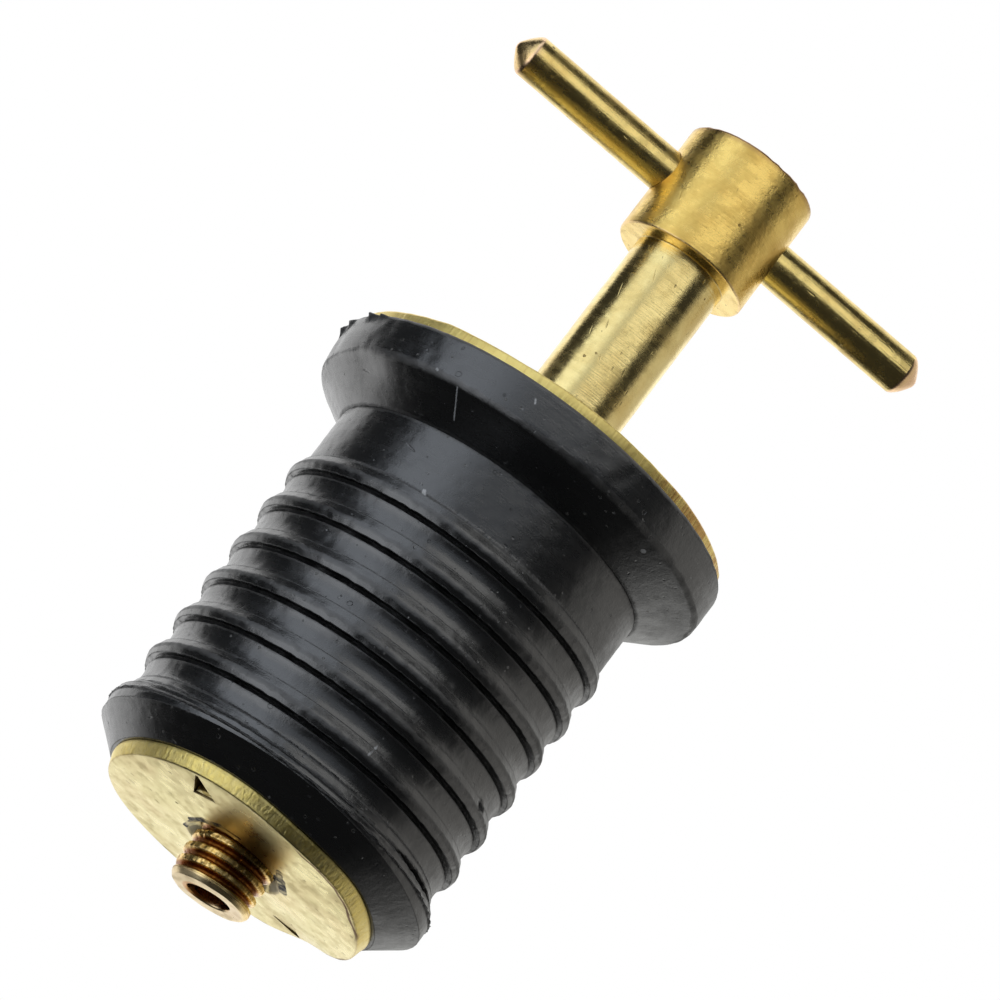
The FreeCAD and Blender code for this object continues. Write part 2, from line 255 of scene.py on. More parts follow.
def skin(name, grid, loop=False, poles=False):
    """A mesh object over a grid of rings, closed into a loop, or closed at both ends by a hub."""
    rows, segments, _ = grid.shape
    points = grid.reshape(-1, 3).tolist()
    faces = []
    last = rows if loop else rows - 1
    for row in range(last):
        faces += band(row * segments, ((row + 1) % rows) * segments, segments)
    if poles:
        for row in (0, rows - 1):
            points.append(grid[row].mean(axis=0).tolist())
            hub = len(points) - 1
            for spot in range(segments):
                following = (spot + 1) % segments
                faces.append((row * segments + spot, row * segments + following, hub))
    return solid_from(name, points, faces)


def solid_from(name, points, faces):
    """A mesh object with its faces turned outwards."""
    mesh = bpy.data.meshes.new(name)
    mesh.from_pydata(points, [], faces)
    shell = bmesh.new()
    shell.from_mesh(mesh)
    bmesh.ops.recalc_face_normals(shell, faces=shell.faces)
    shell.to_mesh(mesh)
    shell.free()
    piece = bpy.data.objects.new(name, mesh)
    bpy.context.scene.collection.objects.link(piece)
    return piece


def combine(piece, tool, operation):
    """Take the tool's volume out of the piece or add it, and delete the tool."""
    change = piece.modifiers.new("change", "BOOLEAN")
    change.object = tool
    change.operation = operation
    change.solver = "EXACT"
    graph = bpy.context.evaluated_depsgraph_get()
    made = bpy.data.meshes.new_from_object(piece.evaluated_get(graph))
    piece.modifiers.clear()
    piece.data = made
    bpy.data.objects.remove(tool)


def reshape(piece, change):
    """Move every point of a mesh: change takes and gives an array of places."""
    mesh = piece.data
    spots = np.zeros(len(mesh.vertices) * 3)
    mesh.vertices.foreach_get("co", spots)
    mesh.vertices.foreach_set("co", change(spots.reshape(-1, 3)).ravel())
    mesh.update()


CORNER_FROM = math.radians(4)
CORNER_FULL = math.radians(16)


def finish_mesh(piece, sharp_degrees=40.0):
    """Smooth shading with crisp corners, and what the finishes ask for at each point of the mesh.

    place_mm is its place in millimetres, edge is 1 on outer corners and hollow is 1 in inner ones.
    """
    mesh = piece.data
    shell = bmesh.new()
    shell.from_mesh(mesh)
    outer = np.zeros(len(shell.verts))
    inner = np.zeros(len(shell.verts))
    ends = []
    for line in shell.edges:
        first, second = line.verts[0].index, line.verts[1].index
        ends.append((first, second))
        bend = line.calc_face_angle_signed(0.0)
        for spot in (first, second):
            outer[spot] = max(outer[spot], bend)
            inner[spot] = max(inner[spot], -bend)
    shell.free()
    ends = np.array(ends)
    count = np.bincount(ends.ravel(), minlength=len(outer))
    mesh.shade_smooth()
    mesh.set_sharp_from_angle(angle=math.radians(sharp_degrees))
    spots = np.zeros(len(mesh.vertices) * 3)
    mesh.vertices.foreach_get("co", spots)
    place = mesh.attributes.new("place_mm", "FLOAT_VECTOR", "POINT")
    place.data.foreach_set("vector", spots / MM)
    for name, bends in (("edge", outer), ("hollow", inner)):
        share = step_up(bends, CORNER_FROM, CORNER_FULL)
        spread = np.bincount(ends[:, 0], share[ends[:, 1]], len(share))
        spread += np.bincount(ends[:, 1], share[ends[:, 0]], len(share))
        share = 0.6 * share + 0.4 * spread / count
        layer = mesh.attributes.new(name, "FLOAT", "POINT")
        layer.data.foreach_set("value", share)


# Rubber stopper
RUBBER_SEGMENTS = 296
LIP_CORNER = FOOT_LEVEL + BEVEL_HEIGHT
FLASH_LEVEL = LIP_CORNER + LIP_LAND + 0.12 * MM
RIBS_START = LIP_CORNER + LIP_LAND + LIP_RISE
CREASE_LEVEL = RIBS_START - 0.7 * MM
RIB_PITCH = GROOVE_LAND + RIB_HEIGHT
SLIT_RAISE = 0.3 * MM
BAND_FLARE = 0.15 * MM
BOW_SIDE = math.radians(-120)
CURL_SIDE = math.radians(-55)
SAG_SIDE = math.radians(-6)
DENT_SIDE = math.radians(33)
CRACK_SIDE = math.radians(-43)

# How far the plate sags at one side on its rubber and on its free face, and its other bends as
# (side, spread, how late towards the rim it starts, height)
SAG_ABOVE = 0.2 * MM
SAG_BELOW = 0.5 * MM
SAG_SPREAD = 0.95
SAG_START = 2.5
BENDS = [(BOW_SIDE, 1.5, 2, 0.8 * MM), (CURL_SIDE, 0.7, 4, 0.35 * MM), (DENT_SIDE, 0.4, 6, 0.3 * MM)]

# Flash, crease and crack over the lip, and how ribs and lip stray from round, in millimetres
FLASH_HALF = 0.05 * MM
CREASE_HALF = 0.07 * MM
CREASE_DEPTH = 0.03
CRACK_HALF = 0.1 * MM
CRACK_DEPTH = 0.9
CRACK_SPREAD = 0.4
UPPER_RIBS_SHRINK = 0.07
LIP_SPREAD = 0.1
LIP_RAISED = 0.72 * MM
LIP_SUNK = 0.3 * MM
SIDE_RISE = 0.15


def plate_bow(radius, angle, sag):
    """How far the plate, and the rubber on it, are bent up at the front and down at the right."""
    reach = np.clip(radius / PLATE_RADIUS, 0, 1)
    bow = -sag * towards(angle, SAG_SIDE, SAG_SPREAD) * reach ** SAG_START
    for side, spread, start, height in BENDS:
        bow += height * towards(angle, side, spread) * reach ** start
    return bow


def lip_rows():
    """The lip from its corner up to the lowest groove: land, flash line, crease and a gentle slope."""
    land = outline([
        (LIP_RADIUS - 0.02 * MM, LIP_CORNER + 0.12 * MM, 0),
        (LIP_RADIUS, FLASH_LEVEL - 0.08 * MM, 0),
    ], 0.16 * MM)
    flash = [
        (LIP_RADIUS + 0.03 * MM, FLASH_LEVEL - 0.03 * MM),
        (LIP_RADIUS + 0.05 * MM, FLASH_LEVEL),
        (LIP_RADIUS, FLASH_LEVEL + 0.04 * MM),
    ]
    shoulder = outline([
        (LIP_RADIUS - 0.04 * MM, FLASH_LEVEL + 0.09 * MM, 0),
        (LIP_RADIUS - 0.12 * MM, CREASE_LEVEL - 0.25 * MM, 0),
        (LIP_RADIUS - 0.34 * MM, CREASE_LEVEL - 0.08 * MM, 0),
    ], 0.1 * MM)
    crease = [
        (GROOVE_RADIUS + 0.44 * MM, CREASE_LEVEL - 0.03 * MM),
        (GROOVE_RADIUS + 0.42 * MM, CREASE_LEVEL + 0.02 * MM),
    ]
    upper = outline([
        (GROOVE_RADIUS + 0.4 * MM, CREASE_LEVEL + 0.06 * MM, 0),
        (GROOVE_RADIUS + BAND_FLARE + 0.02 * MM, RIBS_START - 0.03 * MM, 0),
        (GROOVE_RADIUS + BAND_FLARE, RIBS_START, 0),
    ], 0.12 * MM)
    return land + flash + shoulder + crease + upper


def rib_rows(start):
    """One rib: a hollow groove band, a dark slit, and a bead that is full below and slopes off above."""
    low = start + GROOVE_LAND + SLIT_RAISE
    rows = []
    for number in range(10):
        share = 0.03 + 0.94 * number / 9
        flare = BAND_FLARE * (2 * share - 1) ** 2
        rows.append((GROOVE_RADIUS - 0.03 * MM + flare, start + share * (low - 0.2 * MM - start)))
    rows += [
        (GROOVE_RADIUS - 0.08 * MM, low - 0.17 * MM),
        (GROOVE_RADIUS - 0.3 * MM, low - 0.05 * MM),
        (GROOVE_RADIUS - 0.1 * MM, low + 0.04 * MM),
    ]
    top = start + RIB_PITCH
    rows += outline([
        (GROOVE_RADIUS + 0.1 * MM, low + 0.06 * MM, 0),
        (CREST_RADIUS - 0.2 * MM, low + 0.09 * MM, 0.1 * MM),
        (CREST_RADIUS + 0.02 * MM, low + 0.62 * MM, 0.7 * MM),
        (GROOVE_RADIUS + BAND_FLARE + 0.14 * MM, top - 0.04 * MM, 0),
        (GROOVE_RADIUS + BAND_FLARE - 0.04 * MM, top, 0),
    ], 0.16 * MM)
    return rows


def stopper_profile():
    """Rows of the moulding as (radius, level): foot, bevel, lip, ribs, neck, flange and bore."""
    foot = outline([
        (BORE_RADIUS, FOOT_LEVEL, 0),
        (FOOT_RADIUS - 0.5 * MM, FOOT_LEVEL, 0),
    ], 1.2 * MM)
    bevel = outline([
        (FOOT_RADIUS - 0.4 * MM, FOOT_LEVEL, 0),
        (FOOT_RADIUS, FOOT_LEVEL, 0.12 * MM),
        (LIP_RADIUS - 0.02 * MM, LIP_CORNER, 0.1 * MM),
        (LIP_RADIUS - 0.02 * MM, LIP_CORNER + 0.1 * MM, 0),
    ], 0.2 * MM)
    ribs = []
    for rib in range(RIB_COUNT):
        ribs += rib_rows(RIBS_START + rib * RIB_PITCH)
    neck = outline([
        (NECK_RADIUS, -NECK_HEIGHT + 0.05 * MM, 0),
        (NECK_RADIUS, -0.05 * MM, 0),
        (NECK_RADIUS - 0.06 * MM, 0, 0),
        (NECK_RADIUS + 0.1 * MM, 0.05 * MM, 0),
        (FLANGE_RADIUS, FLANGE_CONE, 0.8 * MM),
        (FLANGE_RADIUS, RUBBER_TOP, 0.4 * MM),
        (FLANGE_RADIUS - 1.2 * MM, RUBBER_TOP, 0),
    ], 0.25 * MM)
    inside = outline([
        (FLANGE_RADIUS - 2.5 * MM, RUBBER_TOP, 0),
        (BORE_RADIUS, RUBBER_TOP, 0),
        (BORE_RADIUS, FOOT_LEVEL, 0),
    ], 4 * MM)[:-1]
    return foot + bevel + lip_rows() + ribs + neck + inside


# Crumbs, dents and pits of the moulding: direction in degrees, then level, width, height and reach
# outwards in millimetres
CRUMBS = [
    (171, 4.55, 0.35, 0.3, 0.38), (178, 4.75, 0.3, 0.22, 0.3), (191, 4.95, 0.35, 0.2, 0.42),
    (196, 5.0, 0.25, 0.16, 0.3), (182, 2.0, 4.6, 1.0, -0.42), (196, 1.6, 2.2, 0.7, -0.3),
    (176, 3.4, 0.9, 0.7, -0.12), (-39, -17.2, 0.3, 0.25, -0.4), (-25, -12.0, 0.5, 0.3, -0.12),
    (-30, 2.2, 0.8, 0.35, 0.1), (-12, 2.4, 0.6, 0.3, -0.15), (-160, -24.5, 0.6, 0.25, 0.12),
    (-70, -24.6, 0.5, 0.2, 0.1), (172, -25.2, 1.6, 0.5, -0.12), (-20, -25.2, 2.5, 0.6, 0.1),
]


def make_stopper():
    """The moulded rubber as one closed skin, with the unevenness, flash and wear of a cheap moulding."""
    radius, angle, level = turned_grid(stopper_profile(), RUBBER_SEGMENTS)

    def wavy(name):
        return waves(name, angle, level)

    outside = step_up(radius, 10.9 * MM, 11.6 * MM)
    bead = np.clip((radius - GROOVE_RADIUS) / (CREST_RADIUS - GROOVE_RADIUS), 0, 1)
    ribbed = step_up(level, CREASE_LEVEL - 0.5 * MM, CREASE_LEVEL)
    ribbed = ribbed * step_up(-level, NECK_HEIGHT - MM, NECK_HEIGHT)
    slit = step_up(GROOVE_RADIUS - radius, 0.08 * MM, 0.2 * MM) * ribbed * outside
    flash = ring(level, FLASH_LEVEL, FLASH_HALF) * outside
    crack = towards(angle, CRACK_SIDE, CRACK_SPREAD)
    crease = ring(level, CREASE_LEVEL, CREASE_HALF + CRACK_HALF * crack) * outside
    rim = step_up(radius, 14.4 * MM, 15.0 * MM)
    in_rib = (level - RIBS_START) % RIB_PITCH
    slit_part = step_up(in_rib, 0.9 * MM, 1.4 * MM) * step_up(-in_rib, -2.9 * MM, -2.2 * MM)
    slit_part = slit_part * ribbed * outside
    lip_part = step_up(-level, -FLASH_LEVEL - 0.4 * MM, -FLASH_LEVEL)
    lip_part = lip_part * step_up(level, FOOT_LEVEL, LIP_CORNER)

    out = wavy("out_of_round") * outside + wavy("bead_bulges") * bead * ribbed
    out += wavy("moulded_skin") * outside + wavy("slit_walls") * slit + wavy("flange_rim") * rim
    out += np.abs(wavy("ragged_flash")) * flash + np.abs(wavy("crack_flash")) * flash * crack
    out -= (CREASE_DEPTH + wavy("crease_depth")) * crease
    out -= (CRACK_DEPTH + wavy("crack_depth")) * crease * crack
    out -= UPPER_RIBS_SHRINK * bead * ribbed * step_up(level, RIBS_START, -NECK_HEIGHT)
    out += LIP_SPREAD * towards(angle, RIGHT, 1.2) * lip_part * outside
    surface = np.minimum(radius + out * MM, FLANGE_RADIUS - 0.01 * MM)
    for direction, height, wide, tall, reach in CRUMBS:
        spot = lump(angle, level, math.radians(direction), height * MM, wide * MM, tall * MM, radius)
        surface += reach * MM * spot * outside
    up = wavy("rib_level") * ribbed * outside + wavy("slit_level") * slit
    up += SIDE_RISE * (1 - towards(angle, FRONT, 1.6)) * slit_part
    up += wavy("bead_level") * bead * slit_part
    up += wavy("crack_level") * crease * crack + wavy("flash_level") * flash

    foot_share = np.clip((LIP_CORNER - level) / BEVEL_HEIGHT, 0, 1)
    under_flash = np.clip((FLASH_LEVEL - level) / (FLASH_LEVEL - LIP_CORNER), 0, 1)
    lip_share = np.minimum(1 - foot_share, under_flash)
    raised = LIP_RAISED * towards(angle, FRONT, 1.5) - LIP_SUNK * towards(angle, RIGHT, 1.0)
    low_part = (level < FLASH_LEVEL) & (radius > BORE_RADIUS + 0.1 * MM)
    bow = (foot_share * plate_bow(radius, angle, SAG_ABOVE) + lip_share * raised) * low_part
    grid = to_points(surface, angle, level + up * MM + bow)
    piece = skin("moulded_stopper", grid, loop=True)
    finish_mesh(piece)
    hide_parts("rubber_stopper")
    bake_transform(piece)
    return piece


# Brass pieces
def thread_drop(angle, level):
    """How far a thread's surface lies under its crest at an angle and level."""
    phase = (level / THREAD_PITCH - angle / TURN + THREAD_START) % 1.0
    from_crest = np.abs(phase - 0.5) * 2
    return THREAD_DEPTH * step_up(from_crest, 0.3, 0.9)


CHIP_DEPTH = 0.16 * MM
STUD_SLANT = 0.34 * MM
STUD_LEAN = 0.26 * MM
FLARE_WALL = FLARE_RADIUS - 0.04 * MM


def lay_along_bar(piece):
    """Turn a piece made about Z onto the cross bar's axis."""
    piece.data.transform(Matrix.Translation((0, 0, BAR_LEVEL)) @ Matrix.Rotation(math.pi / 2, 4, "Y"))


def make_spindle():
    """Head, stem and threaded shank, turned in one piece, with its end hole and cross hole."""
    hole_top = SPINDLE_END + END_HOLE_DEPTH
    flare_top = SPINDLE_END + FLARE_HEIGHT
    thread_end = SPINDLE_END + THREAD_LENGTH
    hole = outline([
        (0.05 * MM, hole_top + 0.95 * MM, 0),
        (END_HOLE_RADIUS, hole_top, 0),
        (END_HOLE_RADIUS, SPINDLE_END, 0.14 * MM),
        (END_RADIUS, SPINDLE_END, 0.1 * MM),
        (FLARE_WALL, SPINDLE_END + END_CHAMFER, 0.1 * MM),
        (FLARE_WALL, flare_top - 0.1 * MM, 0),
    ], 0.3 * MM)
    levels = np.arange(flare_top, thread_end, 0.05 * MM)
    thread = [(SHANK_RADIUS, level) for level in levels]
    upper = outline([
        (SHANK_RADIUS, thread_end, 0),
        (SHANK_RADIUS, WASHER_TOP, 0),
        (STEM_RADIUS, WASHER_TOP, 0.1 * MM),
        (STEM_RADIUS, HEAD_TOP - HEAD_HEIGHT, 0.08 * MM),
        (HEAD_RADIUS, HEAD_TOP - HEAD_HEIGHT, 0.16 * MM),
        (HEAD_RADIUS, HEAD_TOP, 0.2 * MM),
        (0.05 * MM, HEAD_TOP, 0),
    ], 0.6 * MM)
    profile = hole + thread + upper
    radius, angle, level = turned_grid(profile, 144)
    threaded = np.zeros((len(profile), 1))
    threaded[len(hole):len(hole) + len(thread)] = 1
    run_in = step_up(level, flare_top, flare_top + 0.25 * MM)
    run_out = step_up(-level, -thread_end, -thread_end + MM)
    nicks = MM * np.abs(waves("thread_nicks", angle, level))
    chips = step_up(waves("thread_chips", angle, level), 1.3, 1.7) * towards(angle, LEFT, 1.3)
    drop = thread_drop(angle, level) + nicks + CHIP_DEPTH * chips
    radius = radius - threaded * run_in * run_out * drop
    end_part = step_up(-level, -SPINDLE_END - 1.2 * MM, -SPINDLE_END)
    slant_part = step_up(-level, -SPINDLE_END - 2.2 * MM, -SPINDLE_END)
    slant = STUD_SLANT * (1 + np.cos(angle - RIGHT)) / 2 * slant_part
    radius = radius + MM * waves("stud_round", angle, level) * end_part * (radius > 2.2 * MM)
    worn = step_up(radius, STEM_RADIUS, HEAD_RADIUS) * step_up(level, HEAD_TOP - 0.5 * MM, HEAD_TOP)
    level = level + slant - MM * np.abs(waves("head_edge", angle, level)) * worn
    piece = skin("turned_spindle", to_points(radius, angle, level), poles=True)
    bore = outline([
        (0.02 * MM, -8 * MM, 0),
        (BAR_RADIUS + 0.04 * MM, -8 * MM, 0),
        (BAR_RADIUS + 0.04 * MM, 8 * MM, 0),
        (0.02 * MM, 8 * MM, 0),
    ], 4 * MM)
    tool = skin("cross_hole_tool", to_points(*turned_grid(bore, 96)), poles=True)
    lay_along_bar(tool)
    combine(piece, tool, "DIFFERENCE")
    reshape(piece, lean_stud)
    finish_mesh(piece)
    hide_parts("spindle")
    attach(piece, "handle")
    return piece


def lean_stud(places):
    """The stud's end leans a little to the right, as if it had been knocked."""
    below = np.clip((PLATE_FACE - places[:, 2]) / (PLATE_FACE - SPINDLE_END), 0, 1)
    shift = STUD_LEAN * step_up(below, 0.4, 1.0)
    places[:, 0] += shift * math.cos(RIGHT)
    places[:, 1] += shift * math.sin(RIGHT)
    return places


def bar_point(tip, shoulder, fullness):
    """Rows of a pointed end from its tip to its shoulder; more fullness makes it rounder."""
    rows = [(0.03 * MM, tip)]
    for number in range(0, 9):
        share = number / 8
        radius = BAR_NOSE * 0.7 + (BAR_RADIUS - BAR_NOSE * 0.7) * (1 - (1 - share) ** fullness)
        rows.append((radius, tip + (shoulder - tip) * (0.04 + 0.96 * share)))
    return rows


def make_bar():
    """The drawn rod with its pointed ends, lying along X."""
    left = bar_point(BAR_LEFT, BAR_LEFT + BAR_POINT, 1.45)
    right = bar_point(BAR_RIGHT, BAR_RIGHT - BAR_POINT, 1.6)
    rod = outline([
        (BAR_RADIUS, BAR_LEFT + BAR_POINT + 0.04 * MM, 0),
        (BAR_RADIUS, BAR_RIGHT - BAR_POINT - 0.04 * MM, 0),
    ], 0.4 * MM)
    radius, angle, level = turned_grid(left + rod + right[::-1], 96)
    radius = radius * (1 + waves("bar_round", angle, level))
    piece = skin("pointed_bar", to_points(radius, angle, level), poles=True)
    lay_along_bar(piece)
    finish_mesh(piece, 30)
    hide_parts("cross_bar")
    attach(piece, "handle")
    return piece


def make_washer():
    """The thin stamped disc under the stem's shoulder, with a slightly wavy rim."""
    profile = outline([
        (WASHER_HOLE, RUBBER_TOP, 0),
        (WASHER_RADIUS, RUBBER_TOP, 0.1 * MM),
        (WASHER_RADIUS, WASHER_TOP, 0.22 * MM),
        (WASHER_HOLE, WASHER_TOP, 0),
        (WASHER_HOLE, RUBBER_TOP + 0.01 * MM, 0),
    ], 0.5 * MM)
    radius, angle, level = turned_grid(profile, 300)
    reach = (radius / WASHER_RADIUS) ** 3
    upper = level > RUBBER_TOP + 0.1 * MM
    level = level - MM * np.abs(waves("washer_level", angle, level)) * reach * upper
    radius = radius - MM * np.abs(waves("washer_edge", angle, level)) * reach
    piece = skin("shoulder_washer", to_points(radius, angle, level), loop=True)
    finish_mesh(piece)
    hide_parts("top_washer")
    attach(piece, "stopper")
    return piece


def prong_outline():
    """The lanced opening's corners in the plate, narrowing outwards from the prong's bend."""
    half = PRONG_WIDTH / 2
    tip = PRONG_TIP / 2
    far = PRONG_BEND + PRONG_LENGTH
    return [(PRONG_BEND, -half), (far, -tip), (far, tip), (PRONG_BEND, half)]


def prism(name, corners, low, high, direction):
    """An upright block over corners given along and across a direction about the axis."""
    turn = Matrix.Rotation(direction, 3, "Z")
    points = [turn @ Vector((x, y, level)) for level in (low, high) for x, y in corners]
    count = len(corners)
    ends = [tuple(range(count)), tuple(range(count, 2 * count))]
    return solid_from(name, points, ends + band(0, count, count))


def prong_blade(direction, lifted, wide):
    """A prong: bent up out of the plate by an angle at its inner end, and narrowing to its tip."""
    turn = Matrix.Rotation(direction, 3, "Z")
    out = PRONG_BEND - 0.35 * MM
    height = PLATE_FACE + 0.02 * MM
    step = 0.08 * MM
    rows = []
    for number in range(0, 9):
        bend = lifted * number / 8
        rows.append((out, height, bend, wide))
        out += step * math.cos(bend)
        height += step * math.sin(bend)
    run = PRONG_LENGTH - 0.3 * MM
    for number in range(1, 11):
        share = number / 10
        width = wide + (PRONG_TIP / PRONG_WIDTH - wide) * share
        along = run * share
        rows.append((out + along * math.cos(lifted), height + along * math.sin(lifted), lifted, width))
    points = []
    across = np.linspace(-1, 1, 9)
    for out, height, bend, share in rows:
        half = PRONG_WIDTH / 2 * share
        inner = out - PRONG_SHEET * math.sin(bend)
        upper = height + PRONG_SHEET * math.cos(bend)
        points += [turn @ Vector((inner, half * place, upper)) for place in across]
        points += [turn @ Vector((out, half * place, height)) for place in across[::-1]]
    count = 2 * len(across)
    faces = [tuple(range(count)), tuple(range(len(points) - count, len(points)))]
    for low in range(0, len(points) - count, count):
        faces += band(low, low + count, count)
    return solid_from("prong_blade", points, faces)


# Dents in the plate's rim as (side, spread, share of the radius)
RIM_DENTS = [(math.radians(14), 0.12, 0.012), (DENT_SIDE, 0.2, 0.01)]


def bend_plate(places):
    """The bent and dented shape of the stamped plate, with its wavy rim."""
    radius = np.hypot(places[:, 0], places[:, 1])
    angle = np.arctan2(places[:, 1], places[:, 0])
    reach = np.clip(radius / PLATE_RADIUS, 0, 1) ** 8
    grow = 1 + waves("plate_edge", angle, places[:, 2]) * reach
    for side, spread, dent in RIM_DENTS:
        grow -= dent * towards(angle, side, spread) * reach
    under = step_up(-places[:, 2], -PLATE_FACE - 0.5 * MM, -PLATE_FACE)
    ripple = MM * waves("plate_face", angle, radius) * under
    places[:, 0] *= grow
    places[:, 1] *= grow
    places[:, 2] += plate_bow(radius, angle, SAG_ABOVE + (SAG_BELOW - SAG_ABOVE) * under) + ripple
    return places


def make_plate():
    """The stamped disc under the rubber: holed, countersunk, lanced for its prongs and bent."""
    profile = outline([
        (COUNTERSINK_RADIUS, PLATE_FACE, 0.08 * MM),
        (PLATE_RADIUS - 0.32 * MM, PLATE_FACE, 0.14 * MM),
        (PLATE_RADIUS - 0.02 * MM, FOOT_LEVEL - 0.25 * MM, 0.2 * MM),
        (PLATE_RADIUS - 0.02 * MM, FOOT_LEVEL, 0.06 * MM),
        (PLATE_HOLE, FOOT_LEVEL, 0),
        (PLATE_HOLE, PLATE_FACE + COUNTERSINK_RADIUS - PLATE_HOLE, 0),
        (COUNTERSINK_RADIUS - 0.05 * MM, PLATE_FACE + 0.05 * MM, 0),
    ], 0.22 * MM)
    piece = skin("pronged_plate", to_points(*turned_grid(profile, 300)), loop=True)
    for direction, lifted, wide in PRONGS:
        opening = prism("opening_tool", prong_outline(), PLATE_FACE - MM, FOOT_LEVEL + MM, direction)
        combine(piece, opening, "DIFFERENCE")
        combine(piece, prong_blade(direction, lifted, wide), "UNION")
    reshape(piece, bend_plate)
    finish_mesh(piece)
    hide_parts("bottom_plate")
    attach(piece, "plate")
    return piece


# Shader nodes
class Tree:
    """A short way to add nodes and links to a node tree."""

    def __init__(self, nodes, links):
        self.nodes = nodes
        self.links = links

    def add(self, kind, inputs=None, **settings):
        """Add a node, set its properties, and set or link its inputs."""
        node = self.nodes.new(kind)
        for name, value in settings.items():
            setattr(node, name, value)
        for name, value in (inputs or {}).items():
            self.give(node.inputs[name], value)
        return node

    def give(self, socket, value):
        """Link a socket to another, or set its value."""
        if isinstance(value, bpy.types.NodeSocket):
            self.links.new(value, socket)
        else:
            socket.default_value = value

    def maths(self, operation, first, second=0.0, clamp=False):
        """A maths node's result."""
        node = self.add("ShaderNodeMath", {0: first, 1: second}, operation=operation, use_clamp=clamp)
        return node.outputs[0]

    def vector(self, operation, first, second=(0, 0, 0)):
        """A vector maths node's vector."""
        node = self.add("ShaderNodeVectorMath", {0: first, 1: second}, operation=operation)
        return node.outputs["Vector"]

    def number(self, operation, first, second=(0, 0, 0)):
        """A vector maths node's number, such as a length or a dot product."""
        node = self.add("ShaderNodeVectorMath", {0: first, 1: second}, operation=operation)
        return node.outputs["Value"]

    def scaled(self, value, factor):
        """A vector times a number."""
        inputs = {"Vector": value, "Scale": factor}
        return self.add("ShaderNodeVectorMath", inputs, operation="SCALE").outputs[0]

    def axis(self, place, name):
        """One coordinate of a place, such as Z."""
        return self.add("ShaderNodeSeparateXYZ", {0: place}).outputs[name]

    def times(self, first, *others):
        """The product of several values."""
        for value in others:
            first = self.maths("MULTIPLY", first, value)
        return first

    def most(self, first, second):
        """The larger of two values."""
        return self.maths("MAXIMUM", first, second)

    def noise(self, place, detail=3.0, roughness=0.55, scale=1.0):
        """Smooth noise between 0 and 1, mostly near a half."""
        inputs = {"Vector": place, "Scale": scale, "Detail": detail, "Roughness": roughness}
        return self.add("ShaderNodeTexNoise", inputs).outputs["Fac"]

    def ramp(self, value, low, high):
        """A smooth step from 0 at low to 1 at high."""
        linked = any(isinstance(end, bpy.types.NodeSocket) for end in (low, high))
        falls = not linked and high < low
        if falls:
            low, high = high, low
        node = self.add(
            "ShaderNodeMapRange",
            {"Value": value, "From Min": low, "From Max": high,
             "To Min": 1.0 if falls else 0.0, "To Max": 0.0 if falls else 1.0},
            interpolation_type="SMOOTHSTEP",
        )
        return node.outputs[0]

    def between(self, value, low, high, soft_low, soft_high):
        """One between low and high, with a soft edge on both sides."""
        rise = self.ramp(value, low - soft_low, low + soft_low)
        fall = self.ramp(value, high + soft_high, high - soft_high)
        return self.times(rise, fall)

    def blend(self, share, first, second):
        """A colour between two colours."""
        node = self.add("ShaderNodeMix", {"Factor": share, "A": first, "B": second}, data_type="RGBA")
        return node.outputs["Result"]

    def paint(self, colour, *coats):
        """A colour under several coats, each given as its colour and the shares it covers."""
        for over, *shares in coats:
            colour = self.blend(self.times(*shares), colour, over)
        return colour

    def from_axis(self, place):
        """A place's distance from the plug's axis."""
        return self.number("LENGTH", self.vector("MULTIPLY", place, (1, 1, 0)))

    def part(self, effect, **inputs):
        """A group's first output."""
        node = self.add("ShaderNodeGroup", node_tree=bpy.data.node_groups[effect])
        for name, value in inputs.items():
            self.give(node.inputs[name], value)
        return node.outputs[0]

    def sum(self, start, *terms):
        """A number plus (factor, value) terms."""
        total = start
        for factor, value in terms:
            inputs = {0: value, 1: factor, 2: total}
            total = self.add("ShaderNodeMath", inputs, operation="MULTIPLY_ADD").outputs[0]
        return total


def start_effect(name, output, **inputs):
    """A new shader node group with named sockets: its tree, its inputs by name and its output socket."""
    group = bpy.data.node_groups.new(name, "ShaderNodeTree")
    for label, kind in inputs.items():
        group.interface.new_socket(label, in_out="INPUT", socket_type=kind)
    group.interface.new_socket(output, in_out="OUTPUT", socket_type="NodeSocketFloat")
    tree = Tree(group.nodes, group.links)
    given = tree.add("NodeGroupInput").outputs
    result = tree.add("NodeGroupOutput").inputs[output]
    return tree, given, result


NUMBER = "NodeSocketFloat"
PLACE = "NodeSocketVector"


def in_sizes(tree, given, scale=1.0):
    """A point's place measured in the effect's own size."""
    return tree.scaled(given["Place"], tree.maths("DIVIDE", scale, given["Size"]))


def pick_cells(tree, place, share):
    """Scattered cells: whether one is chosen, a number for it and the distance to its middle."""
    cells = tree.add("ShaderNodeTexVoronoi", {"Vector": place, "Scale": 1.0, "Randomness": 1.0})
    pick = tree.add("ShaderNodeSeparateColor", {0: cells.outputs["Color"]})
    return tree.maths("LESS_THAN", pick.outputs[0], share), pick.outputs[1], cells.outputs["Distance"]


